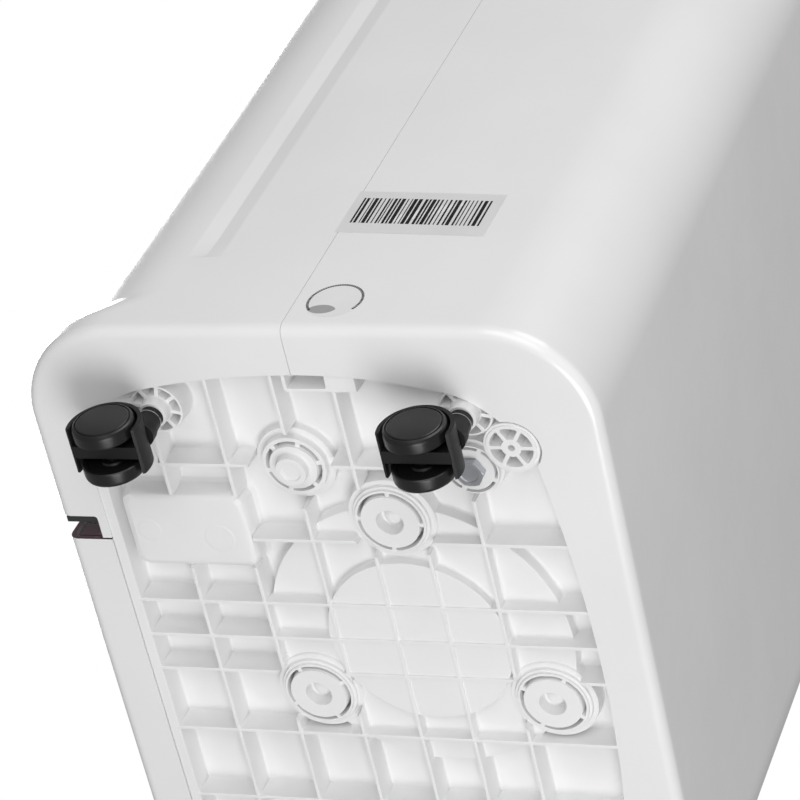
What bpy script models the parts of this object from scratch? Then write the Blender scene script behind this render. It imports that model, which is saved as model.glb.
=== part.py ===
"""A portable dehumidifier: a white two-shell cabinet on four twin-wheel casters, with a pull-out water
tank at the back, an intake grille with a filter above it, and an outlet flap and buttons on top.

Metres, +Z up. The origin is on the floor under the middle of the cabinet. The front faces -Y, and the
tank and the intake face +Y.
"""

import math

import bmesh
import bpy
from mathutils import Matrix, Vector

# Cabinet
WIDTH = 0.370
DEPTH = 0.268
HEIGHT = 0.590
WALL = 0.0025
GAP = 0.0003
LIP_Z = 0.041
RIM_RADIUS = 0.047
REAR_RADIUS = 0.055
REAR_SETBACK = 0.008
SIDE_BOW = 0.0015
BOTTOM_FILLET = 0.005
LID_Z = 0.556
SEAM_Y = 0.002

# Opening inside the lip of the cabinet, and the ribbed base in it
LIP_HALF_X = 0.161
LIP_FRONT = -0.1105
LIP_BACK = 0.1115
LIP_CORNER = 0.034
LIP_SIDE_BOW = 0.0178
LIP_FRONT_BOW = 0.014
RIB = 0.0018
RIB_Z = LIP_Z + 0.0006
PLATE_Z = LIP_Z + 0.017
PLATE_TOP = LIP_Z + 0.0195
RIBS_ALONG_X = (0.076, 0.0445, 0.0128, -0.0155, -0.0410, -0.068)
RIBS_ALONG_Y = (-0.1124, -0.072, -0.0365, -0.0167, 0.003, 0.0385, 0.079, 0.120)
WELL_STEPS = ((0.072, LIP_Z + 0.0075), (0.0435, LIP_Z + 0.0017))
PAD_X = (-0.096, -0.0555)
PAD_Y = (0.042, 0.103)
PAD_Z = LIP_Z + 0.0012
BOSS_Z = LIP_Z + 0.004
FOOT_BOSS_RADIUS = 0.020
HEX_BOSS_RADIUS = 0.0125
POST_SPOT = (-0.1095, 0.0145)
POST_BOSS_RADIUS = 0.0185
POST_BOSS_Z = LIP_Z + 0.003
BOLT_HOLE_RADIUS = 0.0034
BOLT_RADIUS = 0.0030

# Compressor and its three feet
COMPRESSOR = Vector((-0.017, -0.026, PLATE_TOP + 0.010))
COMPRESSOR_RADIUS = 0.050
COMPRESSOR_HEIGHT = 0.165
FOOT_CIRCLE = 0.0655
FOOT_ANGLES = (180, 300, 60)
FOOT_HALF_WIDTH = 0.009
ACCUMULATOR = (-0.038, -0.066)
ACCUMULATOR_RADIUS = 0.017
ACCUMULATOR_TOP = 0.125

# Casters: stems on the base, wheels trailing behind them
WHEEL_RADIUS = 0.0140
WHEEL_WIDTH = 0.0074
WHEEL_OFFSET = 0.0100
TRAIL = 0.0113
STEM_X = 0.142
STEM_BACK_Y = 0.071
STEM_FRONT_Y = -0.0738
HOOD_RADIUS = 0.0170
HOOD_WALL = 0.0018
HOOD_HALF_WIDTH = 0.01125
WEB_HALF_WIDTH = 0.0030
WEB_FOOT = -0.0060
POST_RADIUS = 0.0053
POST_FOOT_RADIUS = 0.0063
POST_TOP = LIP_Z - 0.0046
STEM_RADIUS = 0.0038
STEM_LOW = LIP_Z - 0.0125
AXLE_RADIUS = 0.0022
AXLE_HUB_RADIUS = 0.0045
SOCKET_RADIUS = 0.013
HUB_RADIUS = 0.0064
HUB_LOW = LIP_Z - 0.0042

# Water tank and the opening that it slides out of
TANK_LEFT = -0.0708
TANK_RIGHT = 0.1277
TANK_FRONT = 0.054
TANK_BACK = 0.1226
TANK_BOTTOM = PLATE_TOP + 0.0015
TANK_TOP = 0.290
TANK_WALL = 0.0025
TOE_FRONT = 0.1125
TOE_BACK = 0.1294
TOE_BOTTOM = LIP_Z + 0.003
TOE_TOP = LIP_Z + 0.012
BAY_TOP = 0.336
NOTCH_WIDTH = 0.0121
NOTCH_FRONT = 0.116
NOTCH_TOP = LIP_Z + 0.032
HANDLE_PIVOT = Vector((0.0, 0.088, 0.3035))
HANDLE_REACH = 0.030
HANDLE_RADIUS = 0.003
HANDLE_PIN = 0.0022
FLOAT_PIVOT = Vector((0.095, 0.062, 0.268))
FLOAT_PIN = 0.0022

# Intake at the back, coils and fan behind it
GRILLE_HALF_X = 0.140
GRILLE_LOW = 0.352
GRILLE_HIGH = 0.540
COIL_HALF_X = 0.130
COIL_LOW = 0.362
COIL_HIGH = 0.534
FAN_CENTRE = Vector((0.0, 0.0, 0.446))
FAN_RADIUS = 0.072
BLADES = 12
MOTOR_RADIUS = 0.036
DECK_Z = 0.340
DECK_THICKNESS = 0.002
TRAY_BACK = 0.114
TRAY_FRONT = 0.050
TRAY_HALF_X = 0.134
TRAY_TOP = 0.360
TRAY_WALL = 0.002
EVAPORATOR_Y = (0.086, 0.112)
CONDENSER_Y = (0.054, 0.080)
FIN_DEPTH = 0.012
FINS = 26
DISCHARGE_X = 0.148
SUCTION_X = 0.160

# Top of the cabinet
OUTLET_HALF_X = 0.112
OUTLET_FRONT = -0.030
OUTLET_BACK = 0.046
PANEL_HALF_X = 0.095
PANEL_FRONT = -0.108
PANEL_BACK = -0.052
BUTTON_RADIUS = 0.0075
BUTTON_Y = -0.094
BUTTON_NAMES = ("power", "mode", "speed")
BUTTON_SPACING = 0.038

# Side grips, drain port and cord inlet
GRIP_Y = (0.032, 0.096)
GRIP_Z = (0.470, 0.508)
GRIP_DEPTH = 0.028
GROOVE_Y = (0.0676, 0.0597, 0.0515)
GROOVE_Z = (LIP_Z + 0.0585, 0.455)
GROOVE_DEPTH = 0.0016
DRAIN = Vector((-0.112, 0.0, 0.200))
CORD = Vector((-0.112, 0.0, 0.120))
HEX_SPOT = (-0.110, -0.069)
DISC_SPOT = (0.1243, -0.0912)
DISC_RADIUS = 0.0125

REAR_Y = DEPTH / 2 - REAR_SETBACK

for old in list(bpy.data.objects):
    bpy.data.objects.remove(old, do_unlink=True)

model = bpy.data.collections.new("dehumidifier")
cutters = bpy.data.collections.new("cutters")
for collection in (model, cutters):
    bpy.context.scene.collection.children.link(collection)


def material(name, colour, roughness, metallic=0.0, alpha=1.0):
    made = bpy.data.materials.new(name)
    made.use_nodes = True
    shader = made.node_tree.nodes["Principled BSDF"]
    shader.inputs["Base Color"].default_value = (*colour, 1.0)
    shader.inputs["Roughness"].default_value = roughness
    shader.inputs["Metallic"].default_value = metallic
    shader.inputs["Alpha"].default_value = alpha
    return made


GLOSS_WHITE = material("gloss_white", (0.86, 0.86, 0.86), 0.25)
SATIN_WHITE = material("satin_white", (0.84, 0.84, 0.84), 0.45)
BLACK = material("caster_black", (0.02, 0.02, 0.02), 0.35)
PURPLE = material("tank_smoke", (0.10, 0.05, 0.07), 0.2)
DARK_PANEL = material("panel_dark", (0.05, 0.05, 0.06), 0.15)
GREY = material("button_grey", (0.55, 0.56, 0.58), 0.4)
MESH_GREY = material("filter_grey", (0.25, 0.26, 0.27), 0.8)
STEEL = material("steel", (0.6, 0.6, 0.62), 0.35, 1.0)
CHROME = material("chrome", (0.8, 0.8, 0.8), 0.12, 1.0)
ALUMINIUM = material("aluminium", (0.75, 0.76, 0.77), 0.4, 1.0)
COPPER = material("copper", (0.72, 0.40, 0.26), 0.3, 1.0)
BLACK_STEEL = material("compressor_black", (0.03, 0.03, 0.03), 0.4)
RUBBER = material("rubber", (0.03, 0.03, 0.03), 0.8)
BOARD_GREEN = material("board_green", (0.02, 0.16, 0.07), 0.5)


# Ways to make a mesh


def box(low, high):
    shape = bmesh.new()
    centre = (Vector(low) + Vector(high)) / 2
    size = Vector(high) - Vector(low)
    place = Matrix.Translation(centre) @ Matrix.Diagonal((*size, 1))
    bmesh.ops.create_cube(shape, size=1, matrix=place)
    return shape


def cylinder(start, end, radius, sides=24, end_radius=None):
    shape = bmesh.new()
    start = Vector(start)
    along = Vector(end) - start
    turn = along.to_track_quat("Z", "Y").to_matrix().to_4x4()
    bmesh.ops.create_cone(
        shape,
        cap_ends=True,
        segments=sides,
        radius1=radius,
        radius2=radius if end_radius is None else end_radius,
        depth=along.length,
        matrix=Matrix.Translation(start + along / 2) @ turn,
    )
    return shape


def mesh_of_curve(curve):
    holder = bpy.data.objects.new("outline", curve)
    cutters.objects.link(holder)
    bpy.context.view_layer.update()
    graph = bpy.context.evaluated_depsgraph_get()
    mesh = bpy.data.meshes.new_from_object(holder.evaluated_get(graph))
    bpy.data.objects.remove(holder)
    shape = bmesh.new()
    shape.from_mesh(mesh)
    bmesh.ops.remove_doubles(shape, verts=shape.verts, dist=0.00001)
    return shape


def plate(outlines, low, high, place=None):
    """A flat plate from closed outlines in X and Y; the outlines inside the first are its holes."""
    curve = bpy.data.curves.new("outline", "CURVE")
    curve.dimensions = "2D"
    curve.fill_mode = "BOTH"
    curve.extrude = (high - low) / 2
    for points in outlines:
        spline = curve.splines.new("POLY")
        spline.points.add(len(points) - 1)
        for spot, (x, y) in zip(spline.points, points):
            spot.co = (x, y, 0, 1)
        spline.use_cyclic_u = True
    shape = mesh_of_curve(curve)
    lift = Matrix.Translation((0, 0, (low + high) / 2))
    bmesh.ops.transform(shape, matrix=(place or Matrix()) @ lift, verts=shape.verts)
    return shape


def tube(points, radius, resolution=1):
    curve = bpy.data.curves.new("tube", "CURVE")
    curve.dimensions = "3D"
    curve.bevel_depth = radius
    curve.bevel_resolution = resolution
    curve.use_fill_caps = True
    spline = curve.splines.new("POLY")
    spline.points.add(len(points) - 1)
    for spot, point in zip(spline.points, points):
        spot.co = (*point, 1)
    return mesh_of_curve(curve)


def loft(rings, cap_last=False):
    """An open surface through rings of equally many points, which run anticlockwise seen from above."""
    shape = bmesh.new()
    rows = [[shape.verts.new(point) for point in ring] for ring in rings]
    count = len(rings[0])
    for low, high in zip(rows, rows[1:]):
        for i in range(count):
            j = (i + 1) % count
            shape.faces.new((low[i], low[j], high[j], high[i]))
    if cap_last:
        shape.faces.new(rows[-1])
    return shape


def rounded_outline(half_x, front, back, front_radius, back_radius, side_bow=0.0, front_bow=0.0):
    """A rounded rectangle, anticlockwise, whose sides and front stand out most in their middle."""
    corner_steps = 6
    side_steps = 4
    middle = (front + back) / 2
    half_y = (back - front) / 2
    corners = (
        (half_x - front_radius, front + front_radius, front_radius, -90),
        (half_x - back_radius, back - back_radius, back_radius, 0),
        (back_radius - half_x, back - back_radius, back_radius, 90),
        (front_radius - half_x, front + front_radius, front_radius, 180),
    )
    arcs = []
    for x, y, radius, start in corners:
        angles = [math.radians(start + 90 * step / corner_steps) for step in range(corner_steps + 1)]
        arcs.append([Vector((x + radius * math.cos(a), y + radius * math.sin(a))) for a in angles])
    points = []
    for arc, following in zip(arcs, arcs[1:] + arcs[:1]):
        points += arc
        points += [arc[-1].lerp(following[0], step / side_steps) for step in range(1, side_steps)]
    bowed = []
    for point in points:
        across = point.x / half_x
        along = (point.y - middle) / half_y
        x = point.x - side_bow * across * along**2
        y = point.y + front_bow * across**2 * max(0.0, -along)
        bowed.append((x, y))
    return bowed


def rectangle(x0, x1, y0, y1, radius=0.0, steps=3):
    if not radius:
        return [(x0, y0), (x1, y0), (x1, y1), (x0, y1)]
    points = []
    for x, y, start in (
        (x1 - radius, y0 + radius, -90),
        (x1 - radius, y1 - radius, 0),
        (x0 + radius, y1 - radius, 90),
        (x0 + radius, y0 + radius, 180),
    ):
        for step in range(steps + 1):
            angle = math.radians(start + 90 * step / steps)
            points.append((x + radius * math.cos(angle), y + radius * math.sin(angle)))
    return points


def circle(x, y, radius, sides=20):
    turns = [2 * math.pi * step / sides for step in range(sides)]
    return [(x + radius * math.cos(turn), y + radius * math.sin(turn)) for turn in turns]


def to_back(y=0.0):
    """Turns a plate drawn in X and Y so that its Y runs up +Z and its thickness runs along -Y."""
    return Matrix.Translation((0, y, 0)) @ Matrix.Rotation(math.pi / 2, 4, "X")


def to_side(x=0.0):
    """Turns a plate drawn in X and Y so that X runs along +Y, Y runs up +Z, and thickness along +X."""
    return Matrix.Translation((x, 0, 0)) @ Matrix(((0, 0, 1, 0), (1, 0, 0, 0), (0, 1, 0, 0), (0, 0, 0, 1)))


# Ways to place, cut and join


def placed(shape, name, collection, origin=(0, 0, 0)):
    mesh = bpy.data.meshes.new(name)
    bmesh.ops.translate(shape, verts=shape.verts, vec=-Vector(origin))
    shape.to_mesh(mesh)
    shape.free()
    made = bpy.data.objects.new(name, mesh)
    made.location = origin
    collection.objects.link(made)
    return made


def piece(name, shape, finish, origin=(0, 0, 0)):
    made = placed(shape, name, model, origin)
    made.data.materials.append(finish)
    made.data.shade_smooth()
    made.data.set_sharp_from_angle(angle=math.radians(35))
    return made


def boolean(target, shape, operation):
    tool = placed(shape, f"{target.name}_{operation.lower()}", cutters)
    tool.hide_render = True
    tool.display_type = "WIRE"
    change = target.modifiers.new(tool.name, "BOOLEAN")
    change.operation = operation
    change.object = tool
    return tool


def cut(target, *shapes):
    for shape in shapes:
        boolean(target, shape, "DIFFERENCE")


def join(target, *shapes):
    for shape in shapes:
        boolean(target, shape, "UNION")


def keep(target, shape):
    boolean(target, shape, "INTERSECT")


def solidify(target, thickness=WALL):
    shell = target.modifiers.new("wall", "SOLIDIFY")
    shell.thickness = thickness
    shell.offset = -1
    shell.use_even_offset = True


def gather(shapes):
    """Several shapes that don't touch, as one shape."""
    whole = bmesh.new()
    for shape in shapes:
        mesh = bpy.data.meshes.new("part")
        shape.to_mesh(mesh)
        whole.from_mesh(mesh)
        shape.free()
    return whole


# Cabinet


def cabinet_outline(height, inset=0.0):
    """The cabinet's outer outline at a height. The rear wall is set back above the flared rim."""
    rise = min(1.0, max(0.0, (height - LIP_Z - 0.012) / 0.020))
    smooth = rise * rise * (3 - 2 * rise)
    radius = RIM_RADIUS + smooth * (REAR_RADIUS - RIM_RADIUS)
    outline = rounded_outline(
        WIDTH / 2 - inset,
        -DEPTH / 2 + inset,
        DEPTH / 2 - smooth * REAR_SETBACK - inset,
        RIM_RADIUS - inset,
        radius - inset,
        SIDE_BOW,
    )
    return [(x, y, height) for x, y in outline]


def lip_outline(inset=0.0):
    return rounded_outline(
        LIP_HALF_X - inset,
        LIP_FRONT + inset,
        LIP_BACK - inset,
        LIP_CORNER - inset,
        LIP_CORNER - inset,
        LIP_SIDE_BOW,
        LIP_FRONT_BOW,
    )


def cabinet_shell(name, low, high, finish):
    """The part of the whole cabinet wall, lip included, that lies between two corners."""
    rings = [[(x, y, LIP_Z) for x, y in lip_outline()]]
    for step in range(4):
        turn = math.pi / 2 * step / 3
        inset = BOTTOM_FILLET * (1 - math.sin(turn))
        rings.append(cabinet_outline(LIP_Z + BOTTOM_FILLET * (1 - math.cos(turn)), inset))
    for height in (LIP_Z + 0.012, LIP_Z + 0.017, LIP_Z + 0.022, LIP_Z + 0.027, LIP_Z + 0.032, LID_Z):
        rings.append(cabinet_outline(height))
    shell = piece(name, loft(rings), finish)
    solidify(shell)
    keep(shell, box(low, high))
    return shell


def housings():
    front = cabinet_shell("front_housing", (-0.3, -0.3, 0), (0.3, SEAM_Y - GAP / 2, 0.6), GLOSS_WHITE)
    for side in (-1, 1):
        x, y = side * DISC_SPOT[0], DISC_SPOT[1]
        cut(front, cylinder((x, y, LIP_Z - 0.01), (x, y, LIP_Z + 0.006), DISC_RADIUS + 0.001, 32))
    rear = cabinet_shell("rear_housing", (-0.3, SEAM_Y + GAP / 2, 0), (0.3, 0.3, 0.6), GLOSS_WHITE)
    cut(rear, box((TANK_LEFT - 0.0009, 0.100, 0), (TANK_RIGHT + 0.0009, 0.2, BAY_TOP)))
    for edge, side in ((TANK_LEFT, -1), (TANK_RIGHT, 1)):
        start, end = sorted((edge, edge + side * (NOTCH_WIDTH + 0.0006)))
        cut(rear, box((start, NOTCH_FRONT, 0), (end, 0.2, NOTCH_TOP)))
    opening = rectangle(-GRILLE_HALF_X, GRILLE_HALF_X, GRILLE_LOW, GRILLE_HIGH, 0.012)
    cut(rear, plate([opening], -0.020, 0.020, to_back(REAR_Y)))
    for side in (-1, 1):
        wall_x = side * WIDTH / 2
        cup = rectangle(*GRIP_Y, *GRIP_Z, 0.014)
        low, high = sorted((-side * 0.0012, -side * GRIP_DEPTH))
        join(rear, plate([cup], low, high, to_side(wall_x)))
        hand = rectangle(GRIP_Y[0] + 0.002, GRIP_Y[1] - 0.002, GRIP_Z[0] + 0.002, GRIP_Z[1] - 0.002, 0.012)
        low, high = sorted((side * 0.010, -side * (GRIP_DEPTH - 0.002)))
        cut(rear, plate([hand], low, high, to_side(wall_x)))
        start, middle, end = GROOVE_Y
        depth = GROOVE_DEPTH + SIDE_BOW * (middle / (DEPTH / 2)) ** 2
        outside = wall_x + side * 0.001
        wedge = [(outside, start), (wall_x - side * depth, middle), (outside, end)]
        if side > 0:
            wedge.reverse()
        cut(rear, plate([wedge], *GROOVE_Z))
    for spot, radius in ((DRAIN, 0.0095), (CORD, 0.0080)):
        cut(rear, cylinder((spot.x, 0.100, spot.z), (spot.x, 0.140, spot.z), radius))


def tank_fascia():
    low = (TANK_LEFT, LIP_BACK + GAP, 0)
    high = (TANK_RIGHT, 0.2, BAY_TOP - 0.0008)
    cabinet_shell("tank_fascia", low, high, GLOSS_WHITE)


def base_pan():
    pan = piece("base_pan", plate([lip_outline(0.0006)], RIB_Z, PLATE_Z + 0.0007), SATIN_WHITE)
    columns = (-0.2, *RIBS_ALONG_Y, 0.2)
    rows = (-0.2, *reversed(RIBS_ALONG_X), 0.2)
    cells = []
    for left, right in zip(columns, columns[1:]):
        for front, back in zip(rows, rows[1:]):
            low = (left + RIB / 2, front + RIB / 2, 0)
            cells.append(box(low, (right - RIB / 2, back - RIB / 2, PLATE_Z + 0.0003)))
    cut(pan, gather(cells))
    inset = WALL + 0.0025
    floor = rounded_outline(WIDTH / 2 - inset, -DEPTH / 2 + inset, LIP_BACK - 0.0006,
                            RIM_RADIUS - inset, 0.030, SIDE_BOW)
    join(pan, plate([floor], PLATE_Z, PLATE_TOP))
    below = LIP_Z - 0.02
    for step, (radius, low) in enumerate(WELL_STEPS):
        top = PLATE_Z + 0.0007 + 0.0002 * step
        join(pan, cylinder((COMPRESSOR.x, COMPRESSOR.y, low), (COMPRESSOR.x, COMPRESSOR.y, top), radius, 32))
    join(pan, box((PAD_X[0], PAD_Y[0], PAD_Z), (PAD_X[1], PAD_Y[1], PLATE_Z + 0.0013)))
    inside = 0.001
    field_low = (PAD_X[0] + inside, PAD_Y[0] + inside, below)
    cut(pan, box(field_low, (PAD_X[1] - inside, PAD_Y[1] - inside, PAD_Z + 0.0001)))
    bosses = [(x, y, FOOT_BOSS_RADIUS, BOSS_Z) for x, y in foot_spots()]
    bosses.append((*HEX_SPOT, HEX_BOSS_RADIUS, BOSS_Z))
    bosses.append((*POST_SPOT, POST_BOSS_RADIUS, POST_BOSS_Z))
    bosses += [(x, y, SOCKET_RADIUS, LIP_Z + WALL + 0.0006) for x, y in stem_spots()]
    bosses += [(side * DISC_SPOT[0], DISC_SPOT[1], DISC_RADIUS, LIP_Z + 0.0006) for side in (-1, 1)]
    for x, y, radius, low in bosses:
        join(pan, cylinder((x, y, low), (x, y, PLATE_Z + 0.0011), radius, 16))
    faces = []
    for x, y, radius, low in bosses:
        faces.append(cylinder((x, y, below), (x, y, low + 0.0001), radius - inside, 16))
    cut(pan, gather(faces))
    for x, y in stem_spots():
        join(pan, cylinder((x, y, HUB_LOW), (x, y, PLATE_Z + 0.0015), HUB_RADIUS, 16))
    drilled = [(x, y, BOLT_HOLE_RADIUS) for x, y in (*foot_spots(), HEX_SPOT)]
    drilled += [(x, y, STEM_RADIUS + GAP) for x, y in stem_spots()]
    above = PLATE_TOP + 0.02
    cut(pan, gather([cylinder((x, y, below), (x, y, above), radius, 12) for x, y, radius in drilled]))
    for change in pan.modifiers:
        change.solver = "MANIFOLD"


def stem_spots():
    return [(side * STEM_X, y) for side in (-1, 1) for y in (STEM_BACK_Y, STEM_FRONT_Y)]


def top_cover():
    rings = []
    for rise, inset in ((0, 0), (0.014, 0), (0.024, 0.003), (0.030, 0.009), (0.034, 0.020)):
        height = LID_Z + GAP + (HEIGHT - LID_Z - GAP) * rise / 0.034
        rings.append(cabinet_outline(height, inset))
    cover = piece("top_cover", loft(rings, cap_last=True), GLOSS_WHITE)
    solidify(cover)
    outlet = rectangle(-OUTLET_HALF_X, OUTLET_HALF_X, OUTLET_FRONT, OUTLET_BACK, 0.006)
    panel = rectangle(-PANEL_HALF_X, PANEL_HALF_X, PANEL_FRONT, PANEL_BACK, 0.010)
    cut(cover, plate([outlet], HEIGHT - 0.010, HEIGHT + 0.010))
    cut(cover, plate([panel], HEIGHT - 0.010, HEIGHT + 0.010))


# Controls on top


def controls():
    rim = rectangle(-PANEL_HALF_X + 0.0004, PANEL_HALF_X - 0.0004, PANEL_FRONT + 0.0004,
                    PANEL_BACK - 0.0004, 0.0096)
    spots = button_spots()
    holes = [circle(x, BUTTON_Y, BUTTON_RADIUS + 0.0004) for x in spots.values()]
    window = rectangle(-0.0304, 0.0304, -0.0804, -0.0576, 0.003)
    piece("control_panel", plate([rim, *holes, window], HEIGHT - 0.0028, HEIGHT - 0.0002), DARK_PANEL)
    lens = rectangle(-0.030, 0.030, -0.080, -0.058, 0.0026)
    piece("display_lens", plate([lens], HEIGHT - 0.0026, HEIGHT - 0.0002), DARK_PANEL)
    for name, x in spots.items():
        base = (x, BUTTON_Y, HEIGHT - 0.0060)
        button = cylinder(base, (x, BUTTON_Y, HEIGHT), BUTTON_RADIUS, 20)
        piece(f"button_{name}", button, GREY, base)
    board = rectangle(-PANEL_HALF_X + 0.006, PANEL_HALF_X - 0.006, PANEL_FRONT + 0.003, PANEL_BACK - 0.003)
    piece("control_board", plate([board], HEIGHT - 0.0100, HEIGHT - 0.0084), BOARD_GREEN)


def button_spots():
    first = -BUTTON_SPACING * (len(BUTTON_NAMES) - 1) / 2
    return {name: first + BUTTON_SPACING * place for place, name in enumerate(BUTTON_NAMES)}


def outlet():
    inner = 0.0006
    frame = rectangle(-OUTLET_HALF_X + inner, OUTLET_HALF_X - inner, OUTLET_FRONT + inner,
                      OUTLET_BACK - inner, 0.0054)
    slots = []
    count = 9
    pitch = (OUTLET_BACK - OUTLET_FRONT - 0.012) / count
    for place in range(count):
        start = OUTLET_FRONT + 0.006 + place * pitch
        for side in (-1, 1):
            left, right = sorted((side * 0.003, side * (OUTLET_HALF_X - 0.006)))
            slots.append(rectangle(left, right, start + 0.001, start + pitch - 0.001))
    piece("outlet_grille", plate([frame, *slots], HEIGHT - 0.0120, HEIGHT - 0.0080), SATIN_WHITE)
    hinge = (0, OUTLET_BACK - 0.0012, HEIGHT - 0.0006)
    leaf = rectangle(-OUTLET_HALF_X + 0.0006, OUTLET_HALF_X - 0.0006, OUTLET_FRONT + 0.0006,
                     OUTLET_BACK - 0.0006, 0.0054)
    piece("outlet_flap", plate([leaf], HEIGHT - 0.0026, HEIGHT - 0.0002), GLOSS_WHITE, hinge)


# Back of the cabinet


def intake():
    inner = 0.0006
    frame = rectangle(-GRILLE_HALF_X + inner, GRILLE_HALF_X - inner, GRILLE_LOW + inner,
                      GRILLE_HIGH - inner, 0.0114)
    rows = 12
    columns = 2
    pitch = (GRILLE_HIGH - GRILLE_LOW - 0.028) / rows
    span = (2 * GRILLE_HALF_X - 0.024) / columns
    slots = []
    for row in range(rows):
        low = GRILLE_LOW + 0.014 + row * pitch
        for column in range(columns):
            left = -GRILLE_HALF_X + 0.012 + column * span
            slots.append(rectangle(left + 0.002, left + span - 0.002, low + 0.0025, low + pitch - 0.0025))
    origin = (0, REAR_Y - 0.0004, GRILLE_LOW + 0.0010)
    grille = plate([frame, *slots], -0.0012, 0.0024, to_back(REAR_Y - 0.0016))
    piece("intake_grille", grille, GLOSS_WHITE, origin)
    border = rectangle(-GRILLE_HALF_X + 0.006, GRILLE_HALF_X - 0.006,
                       GRILLE_LOW + 0.006, GRILLE_HIGH - 0.006)
    piece("air_filter", plate([border], 0, 0.004, to_back(REAR_Y - 0.0045)), MESH_GREY, origin)


def drain_port():
    def along(start, end, radius, sides=24):
        return cylinder((DRAIN.x, REAR_Y + start, DRAIN.z), (DRAIN.x, REAR_Y + end, DRAIN.z), radius, sides)

    spout = piece("drain_spout", along(-0.020, 0.0015, 0.0091), SATIN_WHITE)
    cut(spout, along(-0.022, 0.004, 0.0062, 20))
    cap_start = 0.0018
    origin = (DRAIN.x, REAR_Y + cap_start, DRAIN.z)
    cap = piece("drain_cap", along(cap_start, 0.0070, 0.0110), RUBBER, origin)
    join(cap, along(-0.0100, 0.0030, 0.0058, 20))


def cord_gland():
    back = (CORD.x, REAR_Y + 0.0070, CORD.z)
    gland = piece("cord_gland", cylinder((CORD.x, REAR_Y - 0.014, CORD.z), back, 0.0076), RUBBER)
    join(gland, cylinder((CORD.x, REAR_Y + GAP, CORD.z), (CORD.x, REAR_Y + 0.0030, CORD.z), 0.0120))
    cut(gland, cylinder((CORD.x, 0.100, CORD.z), (CORD.x, 0.140, CORD.z), 0.0038, 16))


# Water tank


def water_tank():
    body = box((TANK_LEFT, TANK_FRONT, TANK_BOTTOM), (TANK_RIGHT, TANK_BACK, TANK_TOP))
    tank = piece("water_tank", body, PURPLE)
    heel = box((TANK_LEFT, TOE_FRONT, TOE_BOTTOM + 0.0001), (TANK_RIGHT, TANK_BACK, TANK_BOTTOM + 0.005))
    join(tank, heel)
    join(tank, box((TANK_LEFT, TOE_FRONT + 0.0001, TOE_BOTTOM), (TANK_RIGHT, TOE_BACK, TOE_TOP)))
    hollow = TANK_WALL
    cut(tank, box((TANK_LEFT + hollow, TANK_FRONT + hollow, TANK_BOTTOM + hollow),
                  (TANK_RIGHT - hollow, TANK_BACK - hollow, TANK_TOP + 0.01)))
    cut(tank, box((TANK_LEFT + hollow, TOE_FRONT + hollow, TOE_BOTTOM + hollow),
                  (TANK_RIGHT - hollow, TANK_BACK - hollow, TANK_BOTTOM + 0.01)))
    x, y, z = FLOAT_PIVOT
    for side in (-1, 1):
        left, right = sorted((x + side * 0.0065, x + side * 0.0085))
        join(tank, box((left, TANK_FRONT + hollow - 0.001, z - 0.004), (right, y + 0.004, z + 0.004)))
    cut(tank, cylinder((x - 0.012, y, z), (x + 0.012, y, z), FLOAT_PIN + GAP, 12))


def tank_lid():
    low = TANK_TOP + GAP
    edge = rectangle(TANK_LEFT, TANK_RIGHT, TANK_FRONT, TANK_BACK, 0.004)
    pour = rectangle(-0.055, 0.010, 0.100, 0.1185, 0.006)
    inlet = rectangle(0.015, 0.060, 0.060, 0.092, 0.006)
    lid = piece("tank_lid", plate([edge, pour, inlet], low, low + 0.003), SATIN_WHITE)
    y, z = HANDLE_PIVOT.y, HANDLE_PIVOT.z
    half = 0.005
    for x in handle_lugs():
        join(lid, box((x - 0.0022, y - half, low + 0.002), (x + 0.0022, y + half, z + half)))
        cut(lid, cylinder((x - 0.01, y, z), (x + 0.01, y, z), HANDLE_PIN + 0.0004, 16))


def handle_lugs():
    return (TANK_LEFT + 0.006, TANK_RIGHT - 0.006)


def tank_handle():
    left, right = (lug + side * 0.006 for lug, side in zip(handle_lugs(), (1, -1)))
    y, z = HANDLE_PIVOT.y, HANDLE_PIVOT.z
    bend = 0.008
    route = [(left, y - 0.004, z), (left, y + HANDLE_REACH - bend, z)]
    for step in range(1, 4):
        turn = math.pi / 2 * step / 3
        across = left + bend * (1 - math.cos(turn))
        route.append((across, y + HANDLE_REACH - bend * (1 - math.sin(turn)), z))
    mirrored = [(left + right - x, reach, up) for x, reach, up in reversed(route)]
    origin = ((left + right) / 2, y, z)
    handle = piece("tank_handle", tube(route + mirrored, HANDLE_RADIUS), BLACK, origin)
    for x, inward in ((left, -1), (right, 1)):
        join(handle, cylinder((x, y, z), (x + inward * 0.0085, y, z), HANDLE_PIN, 14))


def tank_float():
    x, y, z = FLOAT_PIVOT
    arm = box((x - 0.004, y - 0.003, z - 0.003), (x + 0.004, y + 0.024, z + 0.003))
    part = piece("tank_float", arm, SATIN_WHITE, FLOAT_PIVOT)
    join(part, box((x - 0.014, y + 0.020, z - 0.020), (x + 0.014, y + 0.046, z + 0.004)))
    join(part, cylinder((x - 0.010, y, z), (x + 0.010, y, z), FLOAT_PIN, 12))


# Inside


def inner_frame():
    """A sheet wall in front of the tank and a deck over it, which carries the coils and the fan."""
    wall_y = TANK_FRONT - 0.0028
    wall = box((-0.172, wall_y, PLATE_TOP + GAP), (0.172, wall_y + DECK_THICKNESS, DECK_Z + 0.001))
    frame = piece("inner_frame", wall, STEEL)
    join(frame, box((-0.150, -0.090, DECK_Z), (0.150, 0.116, DECK_Z + DECK_THICKNESS)))
    cut(frame, box((0.140, -0.020, DECK_Z - 0.005), (0.168, 0.030, DECK_Z + 0.010)))


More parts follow.
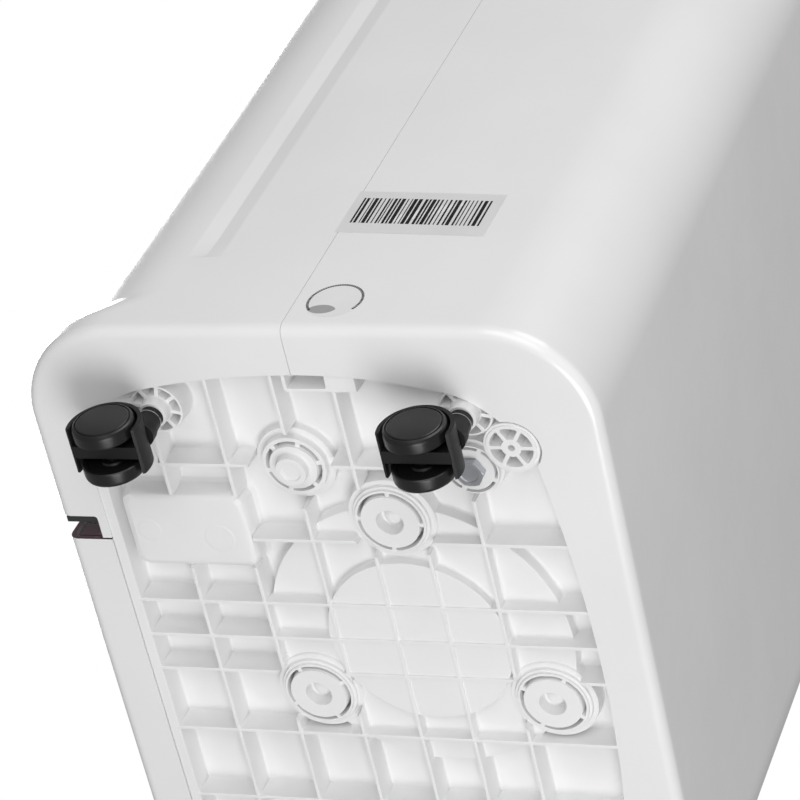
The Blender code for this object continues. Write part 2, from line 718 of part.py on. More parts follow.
def drip_tray():
    low = DECK_Z + DECK_THICKNESS + GAP
    outside = box((-TRAY_HALF_X, TRAY_FRONT, low), (TRAY_HALF_X, TRAY_BACK, TRAY_TOP))
    tray = piece("drip_tray", outside, SATIN_WHITE)
    half_x = TRAY_HALF_X - TRAY_WALL
    start = (-half_x, TRAY_FRONT + TRAY_WALL, low + 0.003)
    cut(tray, box(start, (half_x, TRAY_BACK - TRAY_WALL, TRAY_TOP + 0.01)))


def coil(name, front, back):
    pitch = 2 * COIL_HALF_X / FINS
    slot = pitch * 0.45
    outline = [(-COIL_HALF_X, front), (COIL_HALF_X, front)]
    for fin in reversed(range(FINS)):
        start = -COIL_HALF_X + fin * pitch
        outline += [(start + pitch, back), (start + slot, back)]
        outline += [(start + slot, back - FIN_DEPTH), (start, back - FIN_DEPTH)]
    piece(name, plate([outline], COIL_LOW, COIL_HIGH), ALUMINIUM)


def fan():
    x, z = FAN_CENTRE.x, FAN_CENTRE.z
    turn = to_back(0)
    outer = rectangle(-0.088, 0.088, z - 0.088, z + 0.100, 0.030)
    walls = [outer, circle(x, z, FAN_RADIUS + 0.006, 24)]
    scroll = piece("fan_scroll", plate(walls, -0.040, 0.036, turn), SATIN_WHITE)
    join(scroll, plate([outer, circle(x, z, 0.012)], 0.034, 0.038, turn))
    join(scroll, plate([outer, circle(x, z, FAN_RADIUS - 0.010, 24)], -0.042, -0.0385, turn))
    cut(scroll, box((-0.060, -0.028, z + 0.040), (0.060, 0.030, z + 0.120)))
    back_plate = plate([circle(x, z, FAN_RADIUS, 24), circle(x, z, 0.0042, 12)], 0.026, 0.029, turn)
    wheel = piece("fan_wheel", back_plate, SATIN_WHITE, (x, 0, z))
    for blade in range(BLADES):
        spin = Matrix.Translation((x, 0, z)) @ Matrix.Rotation(2 * math.pi * blade / BLADES, 4, "Y")
        shape = box((0.050, -0.030, -0.001), (0.070, 0.034, 0.001))
        bmesh.ops.rotate(shape, verts=shape.verts, cent=(0.060, 0, 0), matrix=Matrix.Rotation(0.6, 3, "Y"))
        bmesh.ops.transform(shape, matrix=spin, verts=shape.verts)
        join(wheel, shape)
    join(wheel, plate([circle(x, z, FAN_RADIUS, 24), circle(x, z, 0.060, 24)], -0.034, -0.031, turn))
    motor = piece("fan_motor", cylinder((x, -0.080, z), (x, -0.0383, z), MOTOR_RADIUS), STEEL)
    join(motor, cylinder((x, -0.040, z), (x, -0.020, z), 0.0038, 16))


def compressor():
    x, y, z = COMPRESSOR
    top = z + COMPRESSOR_HEIGHT
    body = cylinder((x, y, z + 0.012), (x, y, top - 0.020), COMPRESSOR_RADIUS, 24)
    can = piece("compressor", body, BLACK_STEEL)
    join(can, cylinder((x, y, top - 0.021), (x, y, top), COMPRESSOR_RADIUS, 24, 0.024))
    join(can, cylinder((x, y, z), (x, y, z + 0.013), 0.040, 24, COMPRESSOR_RADIUS))
    for fx, fy in foot_spots():
        outward = Vector((fx - x, fy - y, 0)).normalized()
        side = Vector((-outward.y, outward.x, 0)) * FOOT_HALF_WIDTH
        root = Vector((x, y, 0)) + outward * 0.020
        tip = Vector((fx, fy, 0)) + outward * 0.008
        corners = [tuple(corner[:2]) for corner in (root - side, tip - side, tip + side, root + side)]
        join(can, plate([corners], z + 0.002, z + 0.0045))
        cut(can, cylinder((fx, fy, z - 0.01), (fx, fy, z + 0.010), 0.0060, 16))
    side_x, side_y = x + ACCUMULATOR[0], y + ACCUMULATOR[1]
    low = z + 0.040
    join(can, cylinder((side_x, side_y, low), (side_x, side_y, z + ACCUMULATOR_TOP), ACCUMULATOR_RADIUS, 20))
    join(can, box((side_x - 0.004, side_y, z + 0.070), (x, y, z + 0.080)))


def foot_spots():
    spots = []
    for turn in map(math.radians, FOOT_ANGLES):
        x = COMPRESSOR.x + FOOT_CIRCLE * math.cos(turn)
        spots.append((x, COMPRESSOR.y + FOOT_CIRCLE * math.sin(turn)))
    return spots


def compressor_mounts():
    low = PLATE_TOP + GAP
    z = COMPRESSOR.z
    for number, (x, y) in enumerate(foot_spots(), start=1):
        bore = circle(x, y, 0.0038, 16)
        ring = plate([circle(x, y, 0.0100), bore], low, z + 0.0015)
        grommet = piece(f"compressor_grommet_{number}", ring, RUBBER)
        join(grommet, plate([circle(x, y, 0.0056, 16), bore], z + 0.001, z + 0.0075))
        head = cylinder((x, y, z + 0.0078), (x, y, z + 0.0130), 0.0060, 6)
        bolt = piece(f"compressor_bolt_{number}", head, STEEL)
        join(bolt, cylinder((x, y, PLATE_Z - 0.004), (x, y, z + 0.010), BOLT_RADIUS, 12))


def hex_bolt():
    x, y = HEX_SPOT
    head = cylinder((x, y, LIP_Z + 0.0005), (x, y, BOSS_Z - GAP), 0.0070, 6)
    bolt = piece("base_hex_bolt", head, STEEL)
    join(bolt, cylinder((x, y, LIP_Z + 0.002), (x, y, PLATE_TOP + 0.004), BOLT_RADIUS, 12))


def rounded_route(corners, radius=0.012, steps=4):
    """A route through corner points, with each inner corner turned by a few short chords."""
    corners = [Vector(corner) for corner in corners]
    route = [corners[0]]
    for before, corner, after in zip(corners, corners[1:], corners[2:]):
        start = corner + (before - corner).normalized() * radius
        end = corner + (after - corner).normalized() * radius
        for step in range(steps + 1):
            blend = step / steps
            first = start.lerp(corner, blend)
            second = corner.lerp(end, blend)
            route.append(first.lerp(second, blend))
    route.append(corners[-1])
    return route


def pipes():
    x, y, z = COMPRESSOR
    top = z + COMPRESSOR_HEIGHT + GAP
    high = 0.500
    discharge = [(x, y, top), (x, y, 0.300), (DISCHARGE_X, -0.008, 0.300), (DISCHARGE_X, -0.008, high),
                 (DISCHARGE_X, 0.066, high), (COIL_HALF_X + 0.001, 0.066, high)]
    piece("discharge_pipe", tube(rounded_route(discharge), 0.0035), COPPER)
    ax, ay = x + ACCUMULATOR[0], y + ACCUMULATOR[1]
    start = z + ACCUMULATOR_TOP + GAP
    suction = [(ax, ay, start), (ax, ay, 0.322), (SUCTION_X, ay, 0.322), (SUCTION_X, 0.018, 0.322),
               (SUCTION_X, 0.018, 0.400), (SUCTION_X, 0.099, 0.400), (COIL_HALF_X + 0.001, 0.099, 0.400)]
    piece("suction_pipe", tube(rounded_route(suction), 0.0045), COPPER)


def tank_switch():
    piece("tank_switch", box((0.088, 0.0535, 0.305), (0.108, 0.064, 0.320)), DARK_PANEL)


# Casters


def hood_outline():
    """The hood seen along the axle: a band over the top of the wheels, closed down to their middle."""
    start, end = math.radians(-14), math.radians(194)
    steps = 12
    turns = [start + (end - start) * step / steps for step in range(steps + 1)]
    outer = [(HOOD_RADIUS * math.cos(turn), HOOD_RADIUS * math.sin(turn)) for turn in turns]
    inside = HOOD_RADIUS - HOOD_WALL
    inner = [(inside * math.cos(turn), inside * math.sin(turn)) for turn in reversed(turns)]
    return outer + inner


def web_outline():
    """The wall between the two wheels, seen along the axle; it ends inside the hood's band."""
    half = HOOD_RADIUS - HOOD_WALL / 2
    foot = HOOD_RADIUS - HOOD_WALL
    points = [(-foot, WEB_FOOT), (foot, WEB_FOOT), (half, -0.003)]
    turns = (0.2, 0.6, 1.2, math.pi / 2, 1.94, 2.54, 2.94)
    points += [(half * math.cos(turn), half * math.sin(turn)) for turn in turns]
    points.append((-half, -0.003))
    return points


def caster(name, x, y):
    axle_y = y + TRAIL
    swivel = (x, y, LIP_Z)
    centre = Matrix.Translation((x, axle_y, WHEEL_RADIUS)) @ to_side(0)

    def across(start, end, radius, sides):
        return cylinder((x + start, axle_y, WHEEL_RADIUS), (x + end, axle_y, WHEEL_RADIUS), radius, sides)

    band = plate([hood_outline()], -HOOD_HALF_WIDTH, HOOD_HALF_WIDTH, centre)
    hood = piece(f"{name}_hood", band, BLACK, swivel)
    join(hood, plate([web_outline()], -WEB_HALF_WIDTH, WEB_HALF_WIDTH, centre))
    foot = (x, y, WHEEL_RADIUS + 0.008)
    join(hood, cylinder(foot, (x, y, POST_TOP), POST_FOOT_RADIUS, 16, POST_RADIUS))
    room = HOOD_RADIUS - HOOD_WALL
    cut(hood, gather([across(side * WEB_HALF_WIDTH, side * 0.020, room, 20) for side in (-1, 1)]))
    inner = WHEEL_OFFSET - WHEEL_WIDTH / 2
    outer = WHEEL_OFFSET + WHEEL_WIDTH / 2
    hub_half = inner - 0.0006
    join(hood, across(-hub_half, hub_half, AXLE_HUB_RADIUS, 16))
    cut(hood, across(-0.020, 0.020, AXLE_RADIUS + GAP, 10))
    cut(hood, cylinder((x, y, STEM_LOW - 0.0005), (x, y, LIP_Z + 0.01), STEM_RADIUS + GAP, 10))
    stem = cylinder((x, y, STEM_LOW), (x, y, PLATE_Z - 0.001), STEM_RADIUS, 10)
    piece(f"{name}_stem", stem, CHROME, swivel)
    axle_half = WHEEL_OFFSET + 0.002
    axle_origin = (x, axle_y, WHEEL_RADIUS)
    piece(f"{name}_axle", across(-axle_half, axle_half, AXLE_RADIUS, 10), STEEL, axle_origin)
    for label, side in (("wheel_left", -1), ("wheel_right", 1)):
        tyre = across(side * inner, side * outer, WHEEL_RADIUS, 24)
        wheel = piece(f"{name}_{label}", tyre, BLACK, axle_origin)
        cut(wheel, across(side * (inner - 0.001), side * (axle_half + 0.0003), AXLE_RADIUS + GAP, 10))


housings()
base_pan()
top_cover()
controls()
outlet()
intake()
drain_port()
cord_gland()
water_tank()
tank_fascia()
tank_lid()
tank_handle()
tank_float()
inner_frame()
drip_tray()
coil("evaporator", *EVAPORATOR_Y)
coil("condenser", *CONDENSER_Y)
fan()
compressor()
compressor_mounts()
hex_bolt()
pipes()
tank_switch()
for name, side, y in (
    ("caster_back_left", -1, STEM_BACK_Y),
    ("caster_front_left", -1, STEM_FRONT_Y),
    ("caster_back_right", 1, STEM_BACK_Y),
    ("caster_front_right", 1, STEM_FRONT_Y),
):
    caster(name, side * STEM_X, y)
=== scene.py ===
import math
import random

import bmesh
import bpy
import numpy as np
from mathutils import Matrix, Vector, geometry


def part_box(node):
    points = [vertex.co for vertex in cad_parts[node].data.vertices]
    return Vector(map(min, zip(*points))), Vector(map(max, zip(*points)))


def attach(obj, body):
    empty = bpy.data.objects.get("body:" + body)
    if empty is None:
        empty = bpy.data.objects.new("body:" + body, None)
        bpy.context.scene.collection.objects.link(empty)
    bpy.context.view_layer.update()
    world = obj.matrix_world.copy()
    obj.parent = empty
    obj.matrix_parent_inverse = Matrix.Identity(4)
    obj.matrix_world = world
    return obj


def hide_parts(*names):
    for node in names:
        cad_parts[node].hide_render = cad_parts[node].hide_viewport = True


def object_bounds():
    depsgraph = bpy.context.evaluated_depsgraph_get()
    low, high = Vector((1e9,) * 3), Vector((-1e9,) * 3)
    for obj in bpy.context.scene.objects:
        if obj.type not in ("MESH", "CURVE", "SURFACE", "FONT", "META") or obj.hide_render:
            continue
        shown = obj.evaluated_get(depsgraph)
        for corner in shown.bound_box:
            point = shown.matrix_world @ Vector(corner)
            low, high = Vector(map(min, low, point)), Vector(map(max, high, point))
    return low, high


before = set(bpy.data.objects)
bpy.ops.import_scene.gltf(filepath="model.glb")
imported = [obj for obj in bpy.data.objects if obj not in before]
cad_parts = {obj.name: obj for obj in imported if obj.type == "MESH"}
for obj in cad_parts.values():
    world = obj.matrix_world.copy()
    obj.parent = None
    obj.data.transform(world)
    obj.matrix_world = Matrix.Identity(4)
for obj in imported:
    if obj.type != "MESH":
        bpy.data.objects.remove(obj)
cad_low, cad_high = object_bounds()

# The looks of a portable dehumidifier: a white two-shell cabinet on four twin-wheel casters, with a
# ribbed base, a pull-out tank and an intake grille at the back, and an outlet flap and buttons on top.
# Metres, +Z up. The front faces -Y. Sizes come from the frame where a CAD node has them.

MM = 0.001

# Cabinet
HALF_X = cad_high.x
BACK_Y = 0.134
TOP_Z = cad_high.z
LIP_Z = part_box("front_housing")[0].z
LID_Z = 0.556
WALL = 0.0025
RIM_RADIUS = 0.047
REAR_RADIUS = 0.055
REAR_SETBACK = 0.008
REAR_Y = BACK_Y - REAR_SETBACK
SIDE_BOW = 0.0015
BOTTOM_FILLET = 0.005
SEAM_Y = 0.002
SEAM_GAP = 0.00025
FLARE = (0.012, 0.032)

# The opening inside the lip
LIP_HALF_X = 0.161
LIP_FRONT = -0.1105
LIP_BACK = 0.1115
LIP_CORNER = 0.034
LIP_SIDE_BOW = 0.0178
LIP_FRONT_BOW = 0.014

# Groove down each side, across Y and up Z
GROOVE_Y = (0.0515, 0.0597, 0.0676)
GROOVE_Z = (LIP_Z + 0.0585, 0.455)
GROOVE_DEPTH = 0.0016
GROOVE_REACH = 0.004
GROOVE_FADE = 0.016

rng = random.Random(7)


# Building meshes


def evaluated(made):
    """Replaces an object's mesh with what its modifiers make of it."""
    bpy.context.view_layer.update()
    graph = bpy.context.evaluated_depsgraph_get()
    mesh = bpy.data.meshes.new_from_object(made.evaluated_get(graph))
    made.modifiers.clear()
    old = made.data
    made.data = mesh
    bpy.data.meshes.remove(old)
    return made


def placed(name, shape):
    mesh = bpy.data.meshes.new(name)
    shape.normal_update()
    shape.to_mesh(mesh)
    shape.free()
    made = bpy.data.objects.new(name, mesh)
    bpy.context.scene.collection.objects.link(made)
    return made


def dressed(made, finish, body, nodes=(), sharp=32, weighted=True):
    """Shades a finished mesh, gives it its material and ties it to its body."""
    evaluated(made)
    made.data.shade_smooth()
    made.data.set_sharp_from_angle(angle=math.radians(sharp))
    if weighted:
        even = made.modifiers.new("even_normals", "WEIGHTED_NORMAL")
        even.keep_sharp = True
        evaluated(made)
    made.data.materials.clear()
    made.data.materials.append(finish)
    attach(made, body)
    if nodes:
        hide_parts(*nodes)
    return made


def painted(finish, *nodes):
    """Gives carried-over CAD nodes their finish."""
    for node in nodes:
        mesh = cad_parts[node].data
        mesh.materials.clear()
        mesh.materials.append(finish)


def bevelled(made, width, angle=40, segments=2):
    """Adds a bevel to the edges that bend by more than an angle in degrees."""
    round_off = made.modifiers.new("round_off", "BEVEL")
    round_off.width = width
    round_off.segments = segments
    round_off.limit_method = "ANGLE"
    round_off.angle_limit = math.radians(angle)
    return made


def boolean(made, shape, operation="DIFFERENCE"):
    tool = placed("tool", shape)
    change = made.modifiers.new("boolean", "BOOLEAN")
    change.operation = operation
    change.object = tool
    change.solver = "EXACT"
    evaluated(made)
    bpy.data.objects.remove(tool)
    return made


def box(low, high):
    shape = bmesh.new()
    middle = (Vector(low) + Vector(high)) / 2
    size = Vector(high) - Vector(low)
    bmesh.ops.create_cube(shape, size=1, matrix=Matrix.Translation(middle) @ Matrix.Diagonal((*size, 1)))
    return shape


def cylinder(start, end, radius, sides=64):
    shape = bmesh.new()
    start = Vector(start)
    along = Vector(end) - start
    turn = along.to_track_quat("Z", "Y").to_matrix().to_4x4()
    place = Matrix.Translation(start + along / 2) @ turn
    bmesh.ops.create_cone(shape, cap_ends=True, segments=sides, radius1=radius, radius2=radius,
                          depth=along.length, matrix=place)
    return shape


def turned(profile, place, sides=64):
    """A closed solid turned about Z: the profile is (radius, height) from the axis round to the axis."""
    shape = bmesh.new()
    rows = []
    for radius, height in profile:
        if radius < 1e-7:
            rows.append([shape.verts.new((0, 0, height))])
            continue
        turns = [2 * math.pi * step / sides for step in range(sides)]
        rows.append([shape.verts.new((radius * math.cos(t), radius * math.sin(t), height)) for t in turns])
    for low, high in zip(rows, rows[1:]):
        for i in range(sides):
            j = (i + 1) % sides
            corners = [low[i % len(low)], low[j % len(low)], high[j % len(high)], high[i % len(high)]]
            corners = list(dict.fromkeys(corners))
            if len(corners) > 2:
                shape.faces.new(corners)
    bmesh.ops.transform(shape, matrix=place, verts=shape.verts)
    bmesh.ops.recalc_face_normals(shape, faces=shape.faces)
    return shape


def slab(outlines, low, high, place=None):
    """A plate from closed outlines in X and Y; the outlines inside the first are its holes."""
    curve = bpy.data.curves.new("outline", "CURVE")
    curve.dimensions = "2D"
    curve.fill_mode = "BOTH"
    curve.extrude = (high - low) / 2
    for points in outlines:
        spline = curve.splines.new("POLY")
        spline.points.add(len(points) - 1)
        for spot, (x, y) in zip(spline.points, points):
            spot.co = (x, y, 0, 1)
        spline.use_cyclic_u = True
    holder = bpy.data.objects.new("outline", curve)
    bpy.context.scene.collection.objects.link(holder)
    bpy.context.view_layer.update()
    graph = bpy.context.evaluated_depsgraph_get()
    mesh = bpy.data.meshes.new_from_object(holder.evaluated_get(graph))
    bpy.data.objects.remove(holder)
    shape = bmesh.new()
    shape.from_mesh(mesh)
    bmesh.ops.remove_doubles(shape, verts=shape.verts, dist=1e-6)
    lift = Matrix.Translation((0, 0, (low + high) / 2))
    bmesh.ops.transform(shape, matrix=(place or Matrix()) @ lift, verts=shape.verts)
    return shape


def together(shapes):
    """Several shapes as one."""
    whole = bmesh.new()
    for shape in shapes:
        mesh = bpy.data.meshes.new("part")
        shape.to_mesh(mesh)
        whole.from_mesh(mesh)
        shape.free()
        bpy.data.meshes.remove(mesh)
    return whole


def grid(rows, closed=False):
    """A surface through rows of equally many points."""
    shape = bmesh.new()
    made = [[shape.verts.new(point) for point in row] for row in rows]
    count = len(rows[0])
    for low, high in zip(made, made[1:]):
        for i in range(count if closed else count - 1):
            j = (i + 1) % count
            shape.faces.new((low[i], low[j], high[j], high[i]))
    return shape


def rounded(x0, x1, y0, y1, radius, steps=8):
    """A rounded rectangle, anticlockwise."""
    points = []
    for x, y, start in ((x1 - radius, y0 + radius, -90), (x1 - radius, y1 - radius, 0),
                        (x0 + radius, y1 - radius, 90), (x0 + radius, y0 + radius, 180)):
        for step in range(steps + 1):
            angle = math.radians(start + 90 * step / steps)
            points.append((x + radius * math.cos(angle), y + radius * math.sin(angle)))
    return points


def circle(x, y, radius, sides=64):
    """Points round a circle, anticlockwise."""
    turns = [2 * math.pi * step / sides for step in range(sides)]
    return [(x + radius * math.cos(t), y + radius * math.sin(t)) for t in turns]


def arc(radius, start, end, steps):
    """Points of an arc about the origin, between two angles in degrees."""
    turns = [math.radians(start + (end - start) * step / steps) for step in range(steps + 1)]
    return [(radius * math.cos(turn), radius * math.sin(turn)) for turn in turns]


def grown(bounds, reach):
    """A rectangle's x0, x1, y0, y1 moved out by reach, or in where reach is negative."""
    x0, x1, y0, y1 = bounds
    return x0 - reach, x1 + reach, y0 - reach, y1 + reach


def to_back(y):
    """Turns a plate drawn in X and Y so that its Y runs up +Z and its thickness runs along -Y."""
    return Matrix.Translation((0, y, 0)) @ Matrix.Rotation(math.pi / 2, 4, "X")


def to_side(x=0.0):
    """Turns a plate drawn in X and Y so that X runs along +Y, Y runs up +Z, and thickness along +X."""
    return Matrix.Translation((x, 0, 0)) @ Matrix(((0, 0, 1, 0), (1, 0, 0, 0), (0, 1, 0, 0), (0, 0, 0, 1)))


# Materials


def grey(level):
    return (level, level, level)


def material(name):
    made = bpy.data.materials.new(name)
    made.use_nodes = True
    return made, made.node_tree, made.node_tree.nodes["Principled BSDF"]


def noise(tree, scale, detail, roughness=0.5):
    place = tree.nodes.new("ShaderNodeTexCoord")
    made = tree.nodes.new("ShaderNodeTexNoise")
    made.inputs["Scale"].default_value = scale
    made.inputs["Detail"].default_value = detail
    made.inputs["Roughness"].default_value = roughness
    tree.links.new(place.outputs["Object"], made.inputs["Vector"])
    return made.outputs["Fac"]


def ramp(tree, value, low, high, start=0.3, end=0.7):
    """Turns a value into a colour between low and high."""
    made = tree.nodes.new("ShaderNodeValToRGB")
    made.color_ramp.elements[0].position = start
    made.color_ramp.elements[0].color = (*low, 1)
    made.color_ramp.elements[1].position = end
    made.color_ramp.elements[1].color = (*high, 1)
    tree.links.new(value, made.inputs["Fac"])
    return made.outputs["Color"]


def spread(tree, value, low, high):
    """Turns a noise value into a number between low and high."""
    made = tree.nodes.new("ShaderNodeMapRange")
    made.inputs["From Min"].default_value = 0.3
    made.inputs["From Max"].default_value = 0.7
    made.inputs["To Min"].default_value = low
    made.inputs["To Max"].default_value = high
    tree.links.new(value, made.inputs["Value"])
    return made.outputs["Result"]


def bump(tree, shader, value, height):
    made = tree.nodes.new("ShaderNodeBump")
    made.inputs["Strength"].default_value = 1.0
    made.inputs["Distance"].default_value = height
    tree.links.new(value, made.inputs["Height"])
    tree.links.new(made.outputs["Normal"], shader.inputs["Normal"])


def moulded(name, low, high, rough, grain, height, patch=14, coat=0.0, metallic=0.0, specular=0.5):
    """Moulded or cast stuff: soft patches of colour, a grain in the bump and a roughness that wanders."""
    made, tree, shader = material(name)
    tree.links.new(ramp(tree, noise(tree, patch, 4.0), low, high), shader.inputs["Base Color"])
    tree.links.new(spread(tree, noise(tree, patch * 3.1, 5.0, 0.6), *rough), shader.inputs["Roughness"])
    bump(tree, shader, noise(tree, grain, 2.0), height)
    shader.inputs["Coat Weight"].default_value = coat
    shader.inputs["Coat Roughness"].default_value = 0.08
    shader.inputs["Metallic"].default_value = metallic
    shader.inputs["Specular IOR Level"].default_value = specular
    return made


CABINET = moulded("cabinet_gloss", grey(0.80), grey(0.83), (0.20, 0.27), 180, 0.00004, coat=0.25)
BASE = moulded("base_satin", grey(0.80), grey(0.84), (0.40, 0.52), 900, 0.00003)
NYLON = moulded("caster_nylon", grey(0.007), (0.011, 0.011, 0.012), (0.44, 0.56), 1500, 0.00003,
                specular=0.30)
TREAD = moulded("caster_tread", grey(0.006), grey(0.010), (0.28, 0.38), 900, 0.00002, specular=0.42)
STEEL = moulded("zinc_steel", (0.42, 0.44, 0.47), (0.56, 0.57, 0.60), (0.30, 0.46), 700, 0.00003, 60,
                metallic=1.0)
CHROME = moulded("chrome_plate", (0.80, 0.80, 0.81), (0.88, 0.88, 0.89), (0.06, 0.12), 500, 0.00001, 40,
                 metallic=1.0)
RUBBER = moulded("black_rubber", grey(0.018), grey(0.030), (0.62, 0.78), 1100, 0.00004, 40)
GLOSS_BLACK = moulded("panel_gloss", (0.012, 0.012, 0.013), (0.018, 0.018, 0.019), (0.10, 0.16), 260,
                      0.00001, coat=0.4)
KEY_GREY = moulded("key_grey", (0.30, 0.31, 0.32), (0.35, 0.36, 0.37), (0.36, 0.46), 1300, 0.00002, 40)
FRAME_GREY = moulded("filter_frame", (0.10, 0.10, 0.105), (0.13, 0.13, 0.135), (0.50, 0.62), 1200,
                     0.00003, 40)
THREAD = moulded("filter_thread", (0.13, 0.13, 0.14), (0.18, 0.18, 0.19), (0.55, 0.70), 1500, 0.00002, 60)
GALVANISED = moulded("galvanised", (0.48, 0.50, 0.51), (0.66, 0.67, 0.68), (0.34, 0.52), 500, 0.00003, 34,
                     metallic=1.0)
COPPER = moulded("copper", (0.62, 0.27, 0.14), (0.80, 0.40, 0.25), (0.22, 0.38), 400, 0.00002, 30,
                 metallic=1.0)
BLACK_PAINT = moulded("shell_paint", (0.012, 0.012, 0.013), (0.024, 0.024, 0.025), (0.24, 0.36), 500,
                      0.00005, 24)
BOARD = moulded("circuit_board", (0.010, 0.085, 0.035), (0.020, 0.130, 0.055), (0.30, 0.42), 800,
                0.00003, 90)
FILM = moulded("label_paper", grey(0.66), grey(0.70), (0.34, 0.44), 700, 0.00001, 50)
INK = moulded("label_print", grey(0.006), grey(0.010), (0.5, 0.6), 700, 0.00001, 50, specular=0.2)
SEAL_FILM = moulded("seal_film", grey(0.74), grey(0.78), (0.30, 0.40), 700, 0.00001, 50)
SEAL_INK = moulded("seal_print", grey(0.30), grey(0.36), (0.30, 0.40), 700, 0.00001, 50)


def clear_plastic(name, colour, through, rough, grain, height, coat=0.3):
    """Tinted plastic that lets part of the light through."""
    made, tree, shader = material(name)
    dark = tuple(part * 0.8 for part in colour)
    tree.links.new(ramp(tree, noise(tree, 18, 4.0), dark, colour), shader.inputs["Base Color"])
    tree.links.new(spread(tree, noise(tree, 60, 5.0, 0.6), *rough), shader.inputs["Roughness"])
    bump(tree, shader, noise(tree, grain, 2.0), height)
    shader.inputs["Transmission Weight"].default_value = through
    shader.inputs["Coat Weight"].default_value = coat
    shader.inputs["IOR"].default_value = 1.49
    return made


def finned(name, low, high, pitch):
    """Thin aluminium fins side by side along X, drawn as fine bands of light and shade."""
    made, tree, shader = material(name)
    place = tree.nodes.new("ShaderNodeTexCoord")
    bands = tree.nodes.new("ShaderNodeTexWave")
    bands.wave_type = "BANDS"
    bands.bands_direction = "X"
    bands.inputs["Scale"].default_value = 0.314 / pitch
    bands.inputs["Distortion"].default_value = 0.3
    tree.links.new(place.outputs["Object"], bands.inputs["Vector"])
    tree.links.new(ramp(tree, bands.outputs["Fac"], low, high, 0.2, 0.8), shader.inputs["Base Color"])
    tree.links.new(spread(tree, noise(tree, 120, 4.0), 0.28, 0.44), shader.inputs["Roughness"])
    bump(tree, shader, bands.outputs["Fac"], 0.0006)
    shader.inputs["Metallic"].default_value = 0.9
    return made


TANK = clear_plastic("tank_smoke", (0.115, 0.040, 0.068), 0.20, (0.10, 0.18), 160, 0.00003)
SMOKE = clear_plastic("window_smoke", (0.010, 0.010, 0.012), 0.25, (0.04, 0.08), 300, 0.00001, 0.5)
FINS = finned("fin_stack", (0.30, 0.31, 0.32), (0.72, 0.73, 0.74), 0.0018)


# Camera, lights and floor

FOCAL = 159.6
SENSOR = 36
AMBIENT = 0.32
FLOOR_HALF = 14.0
FLOOR_GLOW = 0.62


def camera():
    """Looks up at the base from the front left, as the photograph does."""
    data = bpy.data.cameras.new("camera")
    data.sensor_width = SENSOR
    data.lens = FOCAL
    made = bpy.data.objects.new("camera", data)
    right = Vector((0.2028, -0.9279, 0.3128))
    up = Vector((-0.8276, 0.0083, 0.5613))
    back = Vector((-0.5235, -0.3727, -0.7662))
    turn = Matrix((right, up, back)).transposed()
    made.matrix_world = Matrix.Translation((-0.9378, -0.6076, LIP_Z - 1.1550)) @ turn.to_4x4()
    bpy.context.scene.collection.objects.link(made)
    bpy.context.scene.camera = made


def lamp(name, spot, target, size, power):
    """A rectangular area lamp that faces its target."""
    data = bpy.data.lights.new(name, "AREA")
    data.shape = "RECTANGLE"
    data.size, data.size_y = size
    data.energy = power
    made = bpy.data.objects.new(name, data)
    made.location = spot
    made.rotation_mode = "QUATERNION"
    made.rotation_quaternion = (Vector(target) - Vector(spot)).to_track_quat("-Z", "Y")
    bpy.context.scene.collection.objects.link(made)


def backdrop():
    """White where the camera looks past the object, and softer as a light on it."""
    world = bpy.data.worlds.new("studio")
    bpy.context.scene.world = world
    world.use_nodes = True
    tree = world.node_tree
    back = tree.nodes["Background"]
    back.inputs["Color"].default_value = (1, 1, 1, 1)
    path = tree.nodes.new("ShaderNodeLightPath")
    strength = tree.nodes.new("ShaderNodeMapRange")
    strength.inputs["To Min"].default_value = AMBIENT
    strength.inputs["To Max"].default_value = 1.0
    tree.links.new(path.outputs["Is Camera Ray"], strength.inputs["Value"])
    tree.links.new(strength.outputs["Result"], back.inputs["Strength"])


def ground():
    """A pale floor that only the camera sees, and only from above; it stops no light."""
    half = FLOOR_HALF
    corners = [(-half, -half, 0), (half, -half, 0), (half, half, 0), (-half, half, 0)]
    data = bpy.data.meshes.new("floor")
    data.from_pydata(corners, [], [(0, 1, 2, 3)])
    floor = bpy.data.objects.new("floor", data)
    bpy.context.scene.collection.objects.link(floor)
    made = bpy.data.materials.new("pale_floor")
    made.use_nodes = True
    tree = made.node_tree
    tree.nodes.clear()
    output = tree.nodes.new("ShaderNodeOutputMaterial")
    mix = tree.nodes.new("ShaderNodeMixShader")
    clear = tree.nodes.new("ShaderNodeBsdfTransparent")
    pale = tree.nodes.new("ShaderNodeBsdfPrincipled")
    grain = noise(tree, 3, 4.0)
    tree.links.new(ramp(tree, grain, grey(0.28), grey(0.30)), pale.inputs["Base Color"])
    pale.inputs["Roughness"].default_value = 0.9
    pale.inputs["Emission Color"].default_value = (1, 1, 1, 1)
    pale.inputs["Emission Strength"].default_value = FLOOR_GLOW
    path = tree.nodes.new("ShaderNodeLightPath")
    side = tree.nodes.new("ShaderNodeNewGeometry")
    seen = tree.nodes.new("ShaderNodeMath")
    seen.operation = "SUBTRACT"
    seen.use_clamp = True
    tree.links.new(path.outputs["Is Camera Ray"], seen.inputs[0])
    tree.links.new(side.outputs["Backfacing"], seen.inputs[1])
    tree.links.new(seen.outputs[0], mix.inputs["Fac"])
    tree.links.new(clear.outputs[0], mix.inputs[1])
    tree.links.new(pale.outputs[0], mix.inputs[2])
    tree.links.new(mix.outputs[0], output.inputs["Surface"])
    data.materials.append(made)


